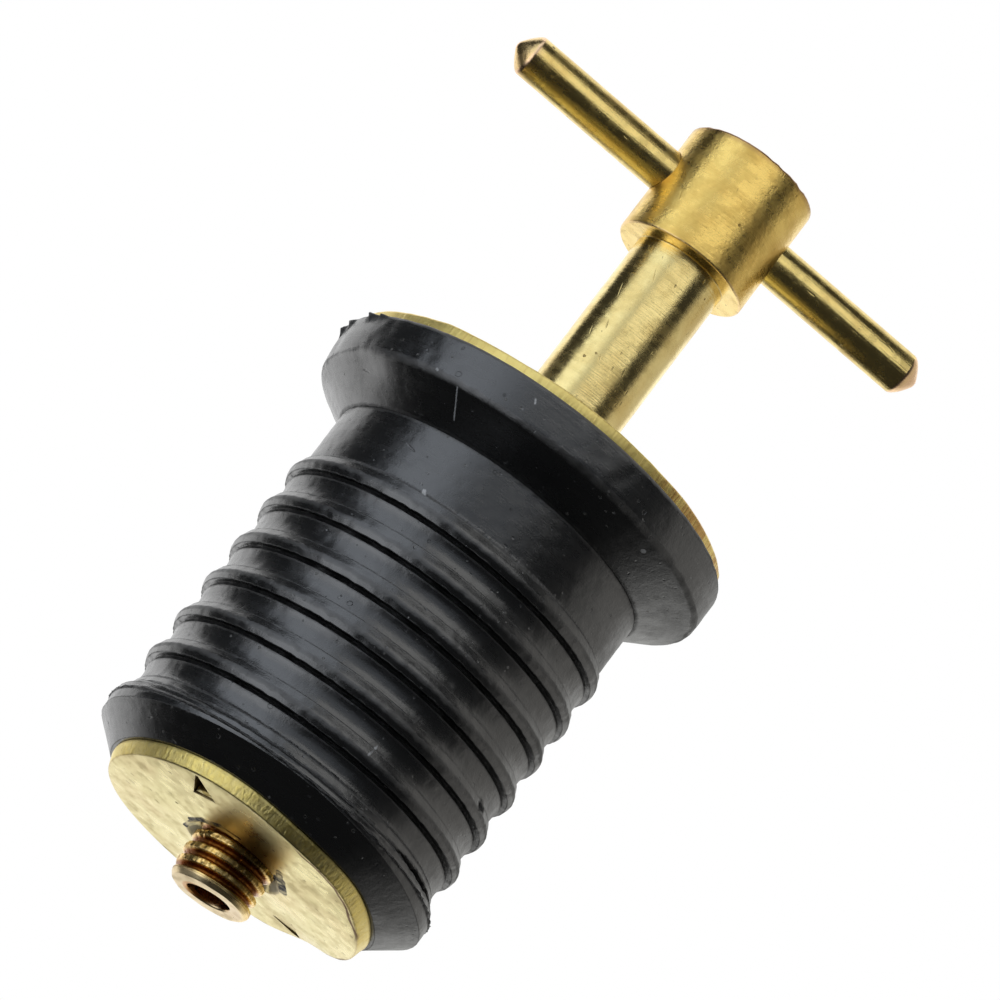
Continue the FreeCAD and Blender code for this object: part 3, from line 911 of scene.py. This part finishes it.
def make_effects():
    """The effects that several finishes share, each as a node group. Sizes are in millimetres."""
    tree, given, result = start_effect(
        "blotches", "Cover", Place=PLACE, Size=NUMBER, From=NUMBER, To=NUMBER)
    near = in_sizes(tree, given)
    tree.give(result, tree.ramp(tree.noise(near, 5, 0.6), given["From"], given["To"]))

    tree, given, result = start_effect("drawn_lines", "Height", Place=PLACE, Lines=PLACE)
    stretched = tree.vector("MULTIPLY", given["Place"], given["Lines"])
    broad = tree.noise(tree.scaled(stretched, 0.25), 2, 0.5)
    fine = tree.noise(stretched, 4, 0.7)
    tree.give(result, tree.ramp(tree.sum(0.0, (0.35, broad), (0.65, fine)), 0.3, 0.7))

    tree, given, result = start_effect("specks", "Cover", Place=PLACE, Size=NUMBER, Share=NUMBER)
    near = in_sizes(tree, given, 0.3)
    chosen, number, distance = pick_cells(tree, near, given["Share"])
    size = tree.sum(0.06, (0.22, number))
    ragged = tree.sum(distance, (0.25, tree.noise(near, 2, 0.6, 6.0)))
    edge = tree.maths("SUBTRACT", tree.maths("ADD", size, 0.125), ragged)
    tree.give(result, tree.times(chosen, tree.ramp(edge, -0.01, 0.03)))

    tree, given, result = start_effect("worn_edges", "Wear", Place=PLACE, Edge=NUMBER, Size=NUMBER)
    near = in_sizes(tree, given)
    broken = tree.noise(near, 5, 0.65)
    tree.give(result, tree.ramp(tree.sum(-0.5, (0.9, given["Edge"]), (0.9, broken)), 0.15, 0.75))

    # Darker, rougher hollows: settled dirt on the brass, and painted shade in the rubber's slits and
    # inner corners
    tree, given, result = start_effect("settled_dirt_and_shade", "Dirt", Place=PLACE, Hollow=NUMBER)
    patchy = tree.noise(given["Place"], 4, 0.6, 1.3)
    tree.give(result, tree.ramp(tree.sum(-0.35, (1.0, given["Hollow"]), (0.7, patchy)), 0.2, 0.8))

    tree, given, result = start_effect(
        "scratches", "Cover", Place=PLACE, Size=NUMBER, Tilt=PLACE, Share=NUMBER)
    near = in_sizes(tree, given)
    turn = {"Vector": near, "Rotation": given["Tilt"]}
    tilted = tree.add("ShaderNodeVectorRotate", turn, rotation_type="EULER_XYZ")
    bent = tree.sum(0.0, (0.5, tree.noise(near, 1, 0.5, 0.8)))
    shifted = tree.vector("ADD", tilted.outputs[0], bent)
    slim = tree.vector("MULTIPLY", shifted, (9.0, 9.0, 0.8))
    chosen, _, distance = pick_cells(tree, slim, given["Share"])
    tree.give(result, tree.times(chosen, tree.ramp(distance, 0.3, 0.1)))

    tree, given, result = start_effect("mark", "Cover", Place=PLACE, From=PLACE, To=PLACE, Width=NUMBER)
    along = tree.vector("SUBTRACT", given["To"], given["From"])
    away = tree.vector("SUBTRACT", given["Place"], given["From"])
    share = tree.maths("DIVIDE", tree.number("DOT_PRODUCT", away, along),
                       tree.number("DOT_PRODUCT", along, along), clamp=True)
    distance = tree.number("LENGTH", tree.vector("SUBTRACT", away, tree.scaled(along, share)))
    uneven_width = tree.sum(distance, (0.1, tree.noise(given["Place"], 3, 0.6, 4.0)))
    tree.give(result, tree.ramp(tree.maths("SUBTRACT", given["Width"], uneven_width), -0.06, 0.0))


def start_finish(name):
    """A new material with its tree, shader, and the place, edge and hollow of a point on the mesh."""
    material = bpy.data.materials.new(name)
    material.use_nodes = True
    tree = Tree(material.node_tree.nodes, material.node_tree.links)
    shader = tree.nodes["Principled BSDF"]
    place = tree.add("ShaderNodeAttribute", attribute_name="place_mm").outputs["Vector"]
    edge = tree.add("ShaderNodeAttribute", attribute_name="edge").outputs["Fac"]
    hollow = tree.add("ShaderNodeAttribute", attribute_name="hollow").outputs["Fac"]
    return material, tree, shader, place, edge, hollow


def towards_side(tree, place, angle, low, high):
    """One on the side of the plug that faces an angle, falling to nothing round the axis."""
    flat = tree.vector("NORMALIZE", tree.vector("MULTIPLY", place, (1, 1, 0)))
    facing = tree.number("DOT_PRODUCT", flat, (math.cos(angle), math.sin(angle), 0))
    return tree.ramp(facing, low, high)


# Colours of the rubber
RUBBER_BLACK = (0.009, 0.010, 0.011, 1)
RUBBER_BLOOM = (0.03, 0.03, 0.029, 1)
RUBBER_WORN = (0.05, 0.05, 0.048, 1)
# Painted shade for the rubber's slits and inner corners
RUBBER_HOLLOW_SHADE = (0.004, 0.004, 0.005, 1)
RUBBER_DUST = (0.3, 0.29, 0.27, 1)
RUBBER_SCUFF = (0.16, 0.165, 0.17, 1)
LIGHT_NICK = (0.5, 0.51, 0.52, 1)
SHADE_AND_TORN_BLACK = (0.002, 0.002, 0.002, 1)

# Colours of the brass, clean and where it is rubbed, tarnished, scratched or dirty
TURNED_BRASS = (0.94, 0.77, 0.34, 1)
TURNED_RUBBED = (0.93, 0.72, 0.5, 1)
DRAWN_BRASS = (0.88, 0.69, 0.26, 1)
DRAWN_RUBBED = (0.95, 0.6, 0.42, 1)
SHEET_BRASS = (0.87, 0.77, 0.39, 1)
SHEET_RUBBED = (0.88, 0.74, 0.42, 1)
TARNISH_CLOUD = (0.72, 0.49, 0.15, 1)
TARNISH_FILM = (0.66, 0.52, 0.18, 1)
TOOL_LINE = (0.74, 0.57, 0.22, 1)
BRASS_SCRATCH = (0.38, 0.28, 0.10, 1)
BRASS_PIT = (0.20, 0.13, 0.05, 1)
BRASS_DIRT = (0.24, 0.11, 0.035, 1)

# Colours of single places on the spindle, the bar, the washer and the plate
HEAD_TINT = (1.0, 0.88, 0.6)
HEAD_EDGE = (0.3, 0.15, 0.08, 1)
STUD_GOLD = (0.88, 0.6, 0.2, 1)
STUD_SHADE = (0.2, 0.12, 0.035, 1)
THREAD_ROOT_TARNISH_AND_SHADE = (0.3, 0.11, 0.02, 1)
END_FACE = (0.92, 0.76, 0.46, 1)
END_HOLE = (0.62, 0.34, 0.12, 1)
BAR_TIP = (0.93, 0.62, 0.4, 1)
BAR_TIP_PINK = (0.92, 0.56, 0.38, 1)
SHEET_SMUDGE = (0.84, 0.76, 0.32, 1)
SHEET_WARM = (0.80, 0.64, 0.30, 1)
WASHER_RIM_GOLD = (0.98, 0.78, 0.26, 1)
WASHER_RIM_BROWN = (0.6, 0.34, 0.1, 1)
PLATE_RIM = (0.95, 0.76, 0.22, 1)
PRONG_SHADE_BROWN = (0.38, 0.28, 0.08, 1)
EDGE_BROWN_AND_SHADE = (0.2, 0.09, 0.03, 1)
STAIN_AND_REFLECTION_BLUE = (0.012, 0.017, 0.05, 1)

# Where those places start and are full, in millimetres: levels, then distances from the axis
HEAD_LEVELS = (22.0, 22.4)
HEAD_EDGE_LEVELS = (30.15, 30.45)
STUD_LEVELS = (-20.0, -29.0)
STUD_SHADE_LEVELS = (-31.2, -28.8)
END_LEVELS = (-31.0, -31.5)
BOTTOM_LEVELS = (0.0, -5.0)
DIRT_LEVELS = (0.0, -20.0)
CRACK_LEVELS = (-23.76, -23.52)
HEAD_EDGE_REACH = (4.6, 4.75)
ROOT_REACH = (2.93, 2.68)
END_HOLE_REACH = (1.75, 1.55)
BAR_TIP_REACH = (16.1, 16.9)
WASHER_RIM_REACH = (14.3, 14.5)
PLATE_RIM_REACH = (9.98, 10.12)
RIM_LINE_REACH = (10.24, 10.44)
FAR_EDGE_REACH = (10.3, 10.5)
SINK_REACH = (2.9, 3.7)

# Sides of the spindle's painted dark reflection, the plate's torn rim line, partly burr and partly
# painted shadow, and its far edge, painted dark as shade
STUD_SHADE_SIDE = math.radians(-80)
TORN_SIDE = math.radians(-56)
FAR_SIDE = math.radians(28)

# Blue-black marks round the stud, partly stains and partly painted dark reflection, painted shade on the
# prong in its opening, and light and dark marks on the rubber, as (from, to, width) in millimetres
PLATE_STAINS_AND_REFLECTIONS = [
    ((-3.5, 1.6, -28.35), (-3.65, -0.4, -28.35), 0.22),
    ((-3.65, -0.4, -28.33), (-3.3, -2.2, -28.3), 0.4),
    ((-3.3, -2.2, -28.3), (-2.5, -3.6, -28.24), 0.26),
    ((-2.5, -3.6, -28.24), (-1.2, -4.2, -28.2), 0.16),
    ((2.2, -4.4, -28.25), (2.7, -3.2, -28.3), 0.3),
    ((2.7, -3.2, -28.3), (3.6, -1.3, -28.36), 0.5),
]
PRONG_SHADE = [((-4.9, -5.6, -26.95), (-4.9, -5.6, -26.4), 0.85)]
LIGHT_MARKS = [
    ((-6.39, -10.05, -4.15), (-6.25, -10.1, -4.4), 0.15),
    ((-9.05, -11.84, 2.06), (-7.67, -10.37, 0.7), 0.07),
    ((-10.57, -10.64, 2.5), (-10.5, -10.7, 2.45), 0.16),
    ((7.01, -12.35, 1.6), (7.03, -12.33, 1.58), 0.2),
    ((-4.92, -14.25, 4.05), (-4.8, -14.3, 3.8), 0.1),
    ((0.95, -11.93, -19.1), (0.9, -11.98, -19.9), 0.1),
    ((0.9, -11.98, -19.9), (0.7, -12.34, -20.7), 0.12),
]
DARK_MARKS = [((9.54, -7.76, -17.3), (9.6, -7.7, -17.0), 0.22)]


def marks(tree, place, table):
    """All the marks of a table in one mask."""
    cover = 0.0
    for start, finish, width in table:
        cover = tree.most(tree.part("mark", Place=place, From=start, To=finish, Width=width), cover)
    return cover


def rubber_finish():
    """Black moulded rubber: waxy sheen, bloom on the right, grain, dust, scuffed edges, and painted
    shade in the hollows and the crack.
    """
    material, tree, shader, place, edge, hollow = start_finish("moulded_rubber")
    dusty_side = towards_side(tree, place, RIGHT, 0.35, 0.95)
    patches = tree.part("blotches", Place=place, Size=5.0, From=0.42, To=0.68)
    bloom = tree.times(patches, dusty_side)
    film = tree.part("blotches", Place=place, Size=1.1, From=0.4, To=0.7)
    crackled = tree.part("blotches", Place=place, Size=0.3, From=0.35, To=0.7)
    streaks = tree.part("drawn_lines", Place=place, Lines=(0.35, 0.35, 5.0))
    ribs = tree.part("drawn_lines", Place=place, Lines=(5.0, 5.0, 0.6))
    dust = tree.part("specks", Place=place, Size=0.12, Share=0.05)
    pits = tree.part("specks", Place=place, Size=0.22, Share=0.1)
    wear = tree.part("worn_edges", Place=place, Edge=edge, Size=0.5)
    dirt_and_shade = tree.part("settled_dirt_and_shade", Place=place, Hollow=hollow)
    scuffs = tree.part("scratches", Place=place, Size=3.2, Tilt=(1.35, 0.2, 0.4), Share=0.07)
    grain = tree.noise(place, 2, 0.5, 9.0)
    light = marks(tree, place, LIGHT_MARKS)
    # The crack is painted near black: painted shade inside it, joined with the dark marks
    jagged = tree.sum(tree.axis(place, "Z"), (0.9, tree.noise(place, 4, 0.7, 1.4)),
                      (-0.45, tree.noise(place, 2, 0.5, 0.4)))
    crack = tree.times(tree.between(jagged, *CRACK_LEVELS, 0.05, 0.05),
                       towards_side(tree, place, CRACK_SIDE, 0.93, 0.97))
    shade_and_torn = tree.most(marks(tree, place, DARK_MARKS), crack)

    # Hollows are painted darker and the crack near black: painted shade
    colour = tree.paint(
        RUBBER_BLACK, (RUBBER_BLOOM, bloom), (RUBBER_WORN, wear, 0.6), (RUBBER_HOLLOW_SHADE, dirt_and_shade),
        (RUBBER_DUST, dust, tree.sum(0.25, (0.6, dusty_side))), (RUBBER_SCUFF, scuffs, 0.3),
        (LIGHT_NICK, light), (SHADE_AND_TORN_BLACK, shade_and_torn))
    roughness = tree.sum(
        0.22, (0.05, film), (0.12, bloom), (0.14, dusty_side), (0.06, streaks), (0.3, dirt_and_shade),
        (0.22, wear), (0.3, dust), (0.3, light), (0.5, shade_and_torn))
    height = tree.sum(
        0.0, (0.006, grain), (0.003, streaks), (0.08, tree.times(ribs, hollow)), (0.005, film),
        (-0.05, pits), (0.03, dust), (-0.02, scuffs), (0.02, tree.times(wear, film)),
        (0.01, tree.times(crackled, dusty_side)))
    shader.inputs["IOR"].default_value = 2.0
    close_finish(tree, shader, colour, roughness, height, metallic=0.0)
    return material


def close_finish(tree, shader, colour, roughness, height, metallic):
    """Give a finish its colour, roughness, relief and metal."""
    tree.give(shader.inputs["Base Color"], colour)
    tree.give(shader.inputs["Roughness"], roughness)
    shader.inputs["Metallic"].default_value = metallic
    bump = tree.add("ShaderNodeBump", {"Height": height, "Strength": 1.0, "Distance": 0.001})
    tree.give(shader.inputs["Normal"], bump.outputs[0])


def brass_finish(name, lines, depth, rough, rough_lines, tarnish, clean, rubbed, scratch_tilt, pitted):
    """Bare yellow brass: tool or rolling lines, tarnish, scratches, pits, dull hollows, rubbed edges."""
    material, tree, shader, place, edge, hollow = start_finish(name)
    grain = tree.part("drawn_lines", Place=place, Lines=lines)
    clouds = tree.part("blotches", Place=place, Size=3.4, From=0.4, To=0.68)
    film = tree.part("blotches", Place=place, Size=0.9, From=0.42, To=0.66)
    pits = tree.part("specks", Place=place, Size=0.16, Share=pitted)
    scratches = tree.part("scratches", Place=place, Size=2.4, Tilt=scratch_tilt, Share=0.12)
    wear = tree.part("worn_edges", Place=place, Edge=edge, Size=0.6)
    settled = tree.part("settled_dirt_and_shade", Place=place, Hollow=hollow)
    lower = tree.ramp(tree.axis(place, "Z"), *DIRT_LEVELS)
    dirt_and_shade = tree.times(settled, tree.sum(0.2, (0.8, lower)))

    colour = tree.paint(
        clean, (TARNISH_CLOUD, clouds, tarnish), (TARNISH_FILM, film, 0.35 * tarnish + 0.05),
        (TOOL_LINE, grain, 0.2), (rubbed, wear, 0.55), (BRASS_SCRATCH, scratches, 0.45),
        (BRASS_PIT, pits, 0.7), (BRASS_DIRT, dirt_and_shade))
    roughness = tree.sum(
        rough, (rough_lines, grain), (0.1, film), (0.08, clouds), (0.25, dirt_and_shade), (0.2, pits),
        (0.08, scratches))
    height = tree.sum(0.0, (depth, grain), (0.5 * depth, film), (-0.03, pits), (-0.012, scratches))
    return material, tree, shader, place, colour, roughness, height, edge, wear


def spindle_finish():
    """Turned brass: bright stem, satin head, orange tarnish in the thread and the end hole, and painted
    shade in the thread roots.
    """
    material, tree, shader, place, colour, roughness, height, _, wear = brass_finish(
        "turned_brass", lines=(0.25, 0.25, 7.0), depth=0.007, rough=0.12, rough_lines=0.07, tarnish=0.5,
        clean=TURNED_BRASS, rubbed=TURNED_RUBBED, scratch_tilt=(0.3, 0.2, 0.0), pitted=0.02)
    level = tree.axis(place, "Z")
    reach = tree.from_axis(place)
    head = tree.ramp(level, *HEAD_LEVELS)
    head_edge = tree.times(tree.ramp(level, *HEAD_EDGE_LEVELS), tree.ramp(reach, *HEAD_EDGE_REACH))
    stud = tree.ramp(level, *STUD_LEVELS)
    shade = tree.times(towards_side(tree, place, STUD_SHADE_SIDE, 0.8, 0.97),
                       tree.ramp(level, *STUD_SHADE_LEVELS))
    end = tree.ramp(level, *END_LEVELS)
    rubbed = tree.part("blotches", Place=place, Size=0.35, From=0.35, To=0.7)

    colour = tree.blend(head, colour, tree.vector("MULTIPLY", colour, HEAD_TINT))
    colour = tree.paint(
        colour, (HEAD_EDGE, head_edge, tree.sum(0.4, (0.5, wear))), (STUD_GOLD, stud, 0.75),
        # Thread roots painted dark brown: partly tarnish, partly painted shade in the roots
        (STUD_SHADE, shade, stud, 0.75), (THREAD_ROOT_TARNISH_AND_SHADE, stud, tree.ramp(reach, *ROOT_REACH)),
        (END_FACE, end, 0.85), (END_HOLE, tree.ramp(reach, *END_HOLE_REACH), stud))
    roughness = tree.sum(roughness, (0.08, head), (0.04, stud), (0.12, end))
    height = tree.sum(height, (0.008, tree.times(head, rubbed)))
    close_finish(tree, shader, colour, roughness, height, metallic=1.0)
    return material


def bar_finish():
    """Drawn brass rod: lines along it, and pink, rubbed ends."""
    material, tree, shader, place, colour, roughness, height, _, _ = brass_finish(
        "drawn_brass", lines=(0.25, 6.0, 6.0), depth=0.008, rough=0.15, rough_lines=0.08, tarnish=0.8,
        clean=DRAWN_BRASS, rubbed=DRAWN_RUBBED, scratch_tilt=(0.0, 1.57, 0.0), pitted=0.03)
    along = tree.axis(place, "X")
    tip = tree.ramp(tree.maths("ABSOLUTE", along), *BAR_TIP_REACH)
    right_tip = tree.times(tip, tree.maths("GREATER_THAN", along, 0.0))
    colour = tree.paint(colour, (BAR_TIP, tip, 0.35), (BAR_TIP_PINK, right_tip, 0.5))
    roughness = tree.sum(roughness, (0.05, right_tip))
    close_finish(tree, shader, colour, roughness, height, metallic=1.0)
    return material


def sheet_finish():
    """Rolled and stamped brass sheet: smudges, a dark rim line of burr and painted shade, and grime and
    painted dark reflection in the countersink.
    """
    material, tree, shader, place, colour, roughness, height, edge, _ = brass_finish(
        "rolled_brass", lines=(0.6, 4.5, 0.6), depth=0.004, rough=0.22, rough_lines=0.07, tarnish=0.22,
        clean=SHEET_BRASS, rubbed=SHEET_RUBBED, scratch_tilt=(0.1, 1.2, 0.7), pitted=0.02)
    bottom = tree.ramp(tree.axis(place, "Z"), *BOTTOM_LEVELS)
    reach = tree.from_axis(place)
    smudges = tree.part("blotches", Place=place, Size=4.5, From=0.42, To=0.68)
    warm_patches = tree.part("blotches", Place=place, Size=6.0, From=0.48, To=0.68)
    sheared = tree.part("drawn_lines", Place=place, Lines=(4.0, 4.0, 0.4))
    washer_rim = tree.ramp(reach, *WASHER_RIM_REACH)
    plate_rim = tree.times(bottom, tree.ramp(reach, *PLATE_RIM_REACH))
    rim = tree.most(washer_rim, plate_rim)
    browned = tree.sum(-0.2, (0.8, sheared), (0.5, towards_side(tree, place, RIGHT, 0.2, 0.8)))
    rim_colour = tree.paint(WASHER_RIM_GOLD, (WASHER_RIM_BROWN, tree.ramp(browned, 0.3, 0.9)))

    # The torn rim line is partly burr, partly painted shadow; the far edge is painted dark as shade
    wavy = tree.sum(reach, (0.8, tree.noise(place, 1, 0.5, 0.45)))
    torn = towards_side(tree, place, TORN_SIDE, 0.84, 0.93)
    rim_line_and_shadow = tree.times(tree.between(wavy, *RIM_LINE_REACH, 0.05, 0.05), bottom, torn, 0.92)
    far = towards_side(tree, place, FAR_SIDE, 0.7, 0.95)
    far_edge_shade = tree.times(tree.ramp(wavy, *FAR_EDGE_REACH), bottom, far, 0.85)
    dark_edge_and_shade = tree.most(tree.most(far_edge_shade, rim_line_and_shadow), tree.times(bottom, edge, 0.25))
    # Blue-black in the countersink and round the stud: partly grime, partly painted dark reflection
    sink_patches = tree.part("blotches", Place=place, Size=1.6, From=0.4, To=0.6)
    sink_grime_and_reflection = tree.times(bottom, sink_patches, tree.between(reach, *SINK_REACH, 0.1, 0.15), 0.7)
    broken = tree.part("blotches", Place=place, Size=1.0, From=0.25, To=0.6)
    stains_and_reflections = tree.most(sink_grime_and_reflection, tree.times(marks(tree, place, PLATE_STAINS_AND_REFLECTIONS), broken))

    colour = tree.paint(
        colour, (SHEET_SMUDGE, smudges, 0.35), (SHEET_WARM, warm_patches, 0.6),
        (rim_colour, washer_rim, 0.9), (PLATE_RIM, plate_rim, tree.sum(0.35, (0.6, sheared))),
        # Painted shade on the prong, darker up in its opening
        (PRONG_SHADE_BROWN, marks(tree, place, PRONG_SHADE), 0.8), (EDGE_BROWN_AND_SHADE, dark_edge_and_shade),
        (STAIN_AND_REFLECTION_BLUE, stains_and_reflections))
    roughness = tree.sum(roughness, (0.06, rim), (0.3, stains_and_reflections), (0.06, smudges), (0.1, dark_edge_and_shade))
    height = tree.sum(height, (0.025, tree.times(rim, sheared)))
    close_finish(tree, shader, colour, roughness, height, metallic=1.0)
    return material


# Light and camera
VIEW_AZIMUTH = math.radians(-10.25)
VIEW_ELEVATION = math.radians(-17.25)
VIEW_ROLL = math.radians(37.21)
VIEW_DISTANCE = 520.0 * MM
VIEW_TARGET = Vector((-1.52 * MM, -7.06 * MM, -0.38 * MM))
VIEW_LENS = 288.5
SENSOR_WIDTH = 36.0


def make_camera():
    """The camera below the flange, rolled so that the plug leans to the upper right as in the photo."""
    cos_up = math.cos(VIEW_ELEVATION)
    ahead = math.cos(VIEW_AZIMUTH) * cos_up
    forward = Vector((-math.sin(VIEW_AZIMUTH) * cos_up, ahead, -math.sin(VIEW_ELEVATION)))
    right = forward.cross(Vector((0, 0, 1))).normalized()
    up = right.cross(forward)
    rolled_right = right * math.cos(VIEW_ROLL) + up * math.sin(VIEW_ROLL)
    rolled_up = up * math.cos(VIEW_ROLL) - right * math.sin(VIEW_ROLL)
    camera = bpy.data.objects.new("camera", bpy.data.cameras.new("camera"))
    turn = Matrix((rolled_right, rolled_up, -forward)).transposed()
    camera.matrix_world = Matrix.Translation(VIEW_TARGET - forward * VIEW_DISTANCE) @ turn.to_4x4()
    camera.data.lens = VIEW_LENS
    camera.data.sensor_width = SENSOR_WIDTH
    camera.data.clip_start = 10 * MM
    bpy.context.scene.collection.objects.link(camera)
    bpy.context.scene.camera = camera


# Soft boxes and walls of the studio as (sides, heights, tint, strength). Sides are angles from the
# camera round the plug, towards its right, and heights are angles above the horizon, both in degrees
# as (from, to, softness of the first edge, softness of the second).
STUDIO = {
    "key_wing": ((-70, 22, 2, 14), (2, 36, 4, 8), (0.93, 1.0, 1.10), 0.34),
    "key_box": ((-76, -30, 2, 18), (2, 84, 4, 5), (0.93, 1.0, 1.10), 1.12),
    "low_box": ((-74, -28, 3, 12), (-46, 2, 6, 4), (0.96, 1.0, 1.06), 1.45),
    "left_back_wall": ((-200, -125, 4, 4), (-34, 78, 9, 6), (1.0, 1.0, 1.0), 1.2),
    "right_back_wall": ((114, 200, 20, 4), (-38, 78, 10, 6), (1.0, 1.0, 0.97), 1.15),
    "right_wall": ((78, 140, 5, 5), (-30, 70, 10, 8), (1.03, 1.0, 0.94), 0.55),
}
STUDIO_BASE = 0.03


def make_world():
    """The studio round the plug: soft boxes, walls and dark gaps, and plain white for the camera."""
    world = bpy.data.worlds.new("studio")
    world.use_nodes = True
    bpy.context.scene.world = world
    tree = Tree(world.node_tree.nodes, world.node_tree.links)
    tree.nodes.clear()
    direction = tree.add("ShaderNodeTexCoord").outputs["Generated"]
    spin = {"Vector": direction, "Angle": -VIEW_AZIMUTH}
    turned = tree.add("ShaderNodeVectorRotate", spin, rotation_type="Z_AXIS").outputs[0]
    toward = tree.times(tree.axis(turned, "Y"), -1.0)
    side = tree.maths("DEGREES", tree.maths("ARCTAN2", tree.axis(turned, "X"), toward))
    height = tree.maths("DEGREES", tree.maths("ARCSINE", tree.axis(turned, "Z")))
    light = (STUDIO_BASE, STUDIO_BASE, STUDIO_BASE, 1)
    for sides, heights, tint, strength in STUDIO.values():
        shine = (*(part * strength for part in tint), 1)
        light = tree.paint(light, (shine, tree.between(side, *sides), tree.between(height, *heights)))
    seen = tree.add("ShaderNodeLightPath").outputs["Is Camera Ray"]
    background = tree.add("ShaderNodeBackground", {"Color": tree.blend(seen, light, (1, 1, 1, 1))})
    tree.add("ShaderNodeOutputWorld", {"Surface": background.outputs[0]})


CARD_RADIUS = 95 * MM
CARD_LOW = 36 * MM
CARD_HIGH = 120 * MM
CARD_SIDES = (-20, 38)
CARD_STRENGTH = 1.0


def make_card():
    """A curved white card in front of the handle, lit as the soft box is; the camera doesn't see it."""
    columns = 24
    points = []
    for number in range(columns + 1):
        side = math.radians(CARD_SIDES[0] + (CARD_SIDES[1] - CARD_SIDES[0]) * number / columns)
        angle = VIEW_AZIMUTH - math.pi / 2 + side
        for level in (CARD_LOW, CARD_HIGH):
            points.append((CARD_RADIUS * math.cos(angle), CARD_RADIUS * math.sin(angle), level))
    faces = [(2 * n, 2 * n + 2, 2 * n + 3, 2 * n + 1) for n in range(columns)]
    mesh = bpy.data.meshes.new("fill_card")
    mesh.from_pydata(points, [], faces)
    card = bpy.data.objects.new("fill_card", mesh)
    bpy.context.scene.collection.objects.link(card)
    card.visible_camera = False
    card.visible_shadow = False
    material = bpy.data.materials.new("lit_card")
    material.use_nodes = True
    tree = Tree(material.node_tree.nodes, material.node_tree.links)
    tree.nodes.clear()
    glow = tree.add("ShaderNodeEmission", {"Color": (1, 1, 0.98, 1), "Strength": CARD_STRENGTH})
    tree.add("ShaderNodeOutputMaterial", {"Surface": glow.outputs[0]})
    card.data.materials.append(material)


FLOOR_LEVEL = -320 * MM
FLOOR_RADIUS = 6.0


def make_floor():
    """The plain pale floor, far below the plug, seen only by the camera."""
    bpy.ops.mesh.primitive_circle_add(
        vertices=96, radius=FLOOR_RADIUS, fill_type="NGON", location=(0, 0, FLOOR_LEVEL))
    floor = bpy.context.object
    floor.name = "floor"
    floor.visible_glossy = False
    floor.visible_diffuse = False
    pale = bpy.data.materials.new("pale_floor")
    pale.use_nodes = True
    shader = pale.node_tree.nodes["Principled BSDF"]
    shader.inputs["Base Color"].default_value = (0.9, 0.9, 0.9, 1)
    shader.inputs["Roughness"].default_value = 0.9
    floor.data.materials.append(pale)


def dress():
    """Build every piece with its finish."""
    make_effects()
    sheet = sheet_finish()
    make_stopper().data.materials.append(rubber_finish())
    make_spindle().data.materials.append(spindle_finish())
    make_bar().data.materials.append(bar_finish())
    make_washer().data.materials.append(sheet)
    make_plate().data.materials.append(sheet)


dress()
make_world()
make_card()
make_floor()
make_camera()
scene = bpy.context.scene
scene.view_settings.view_transform = "Standard"
scene.cycles.use_denoising = True
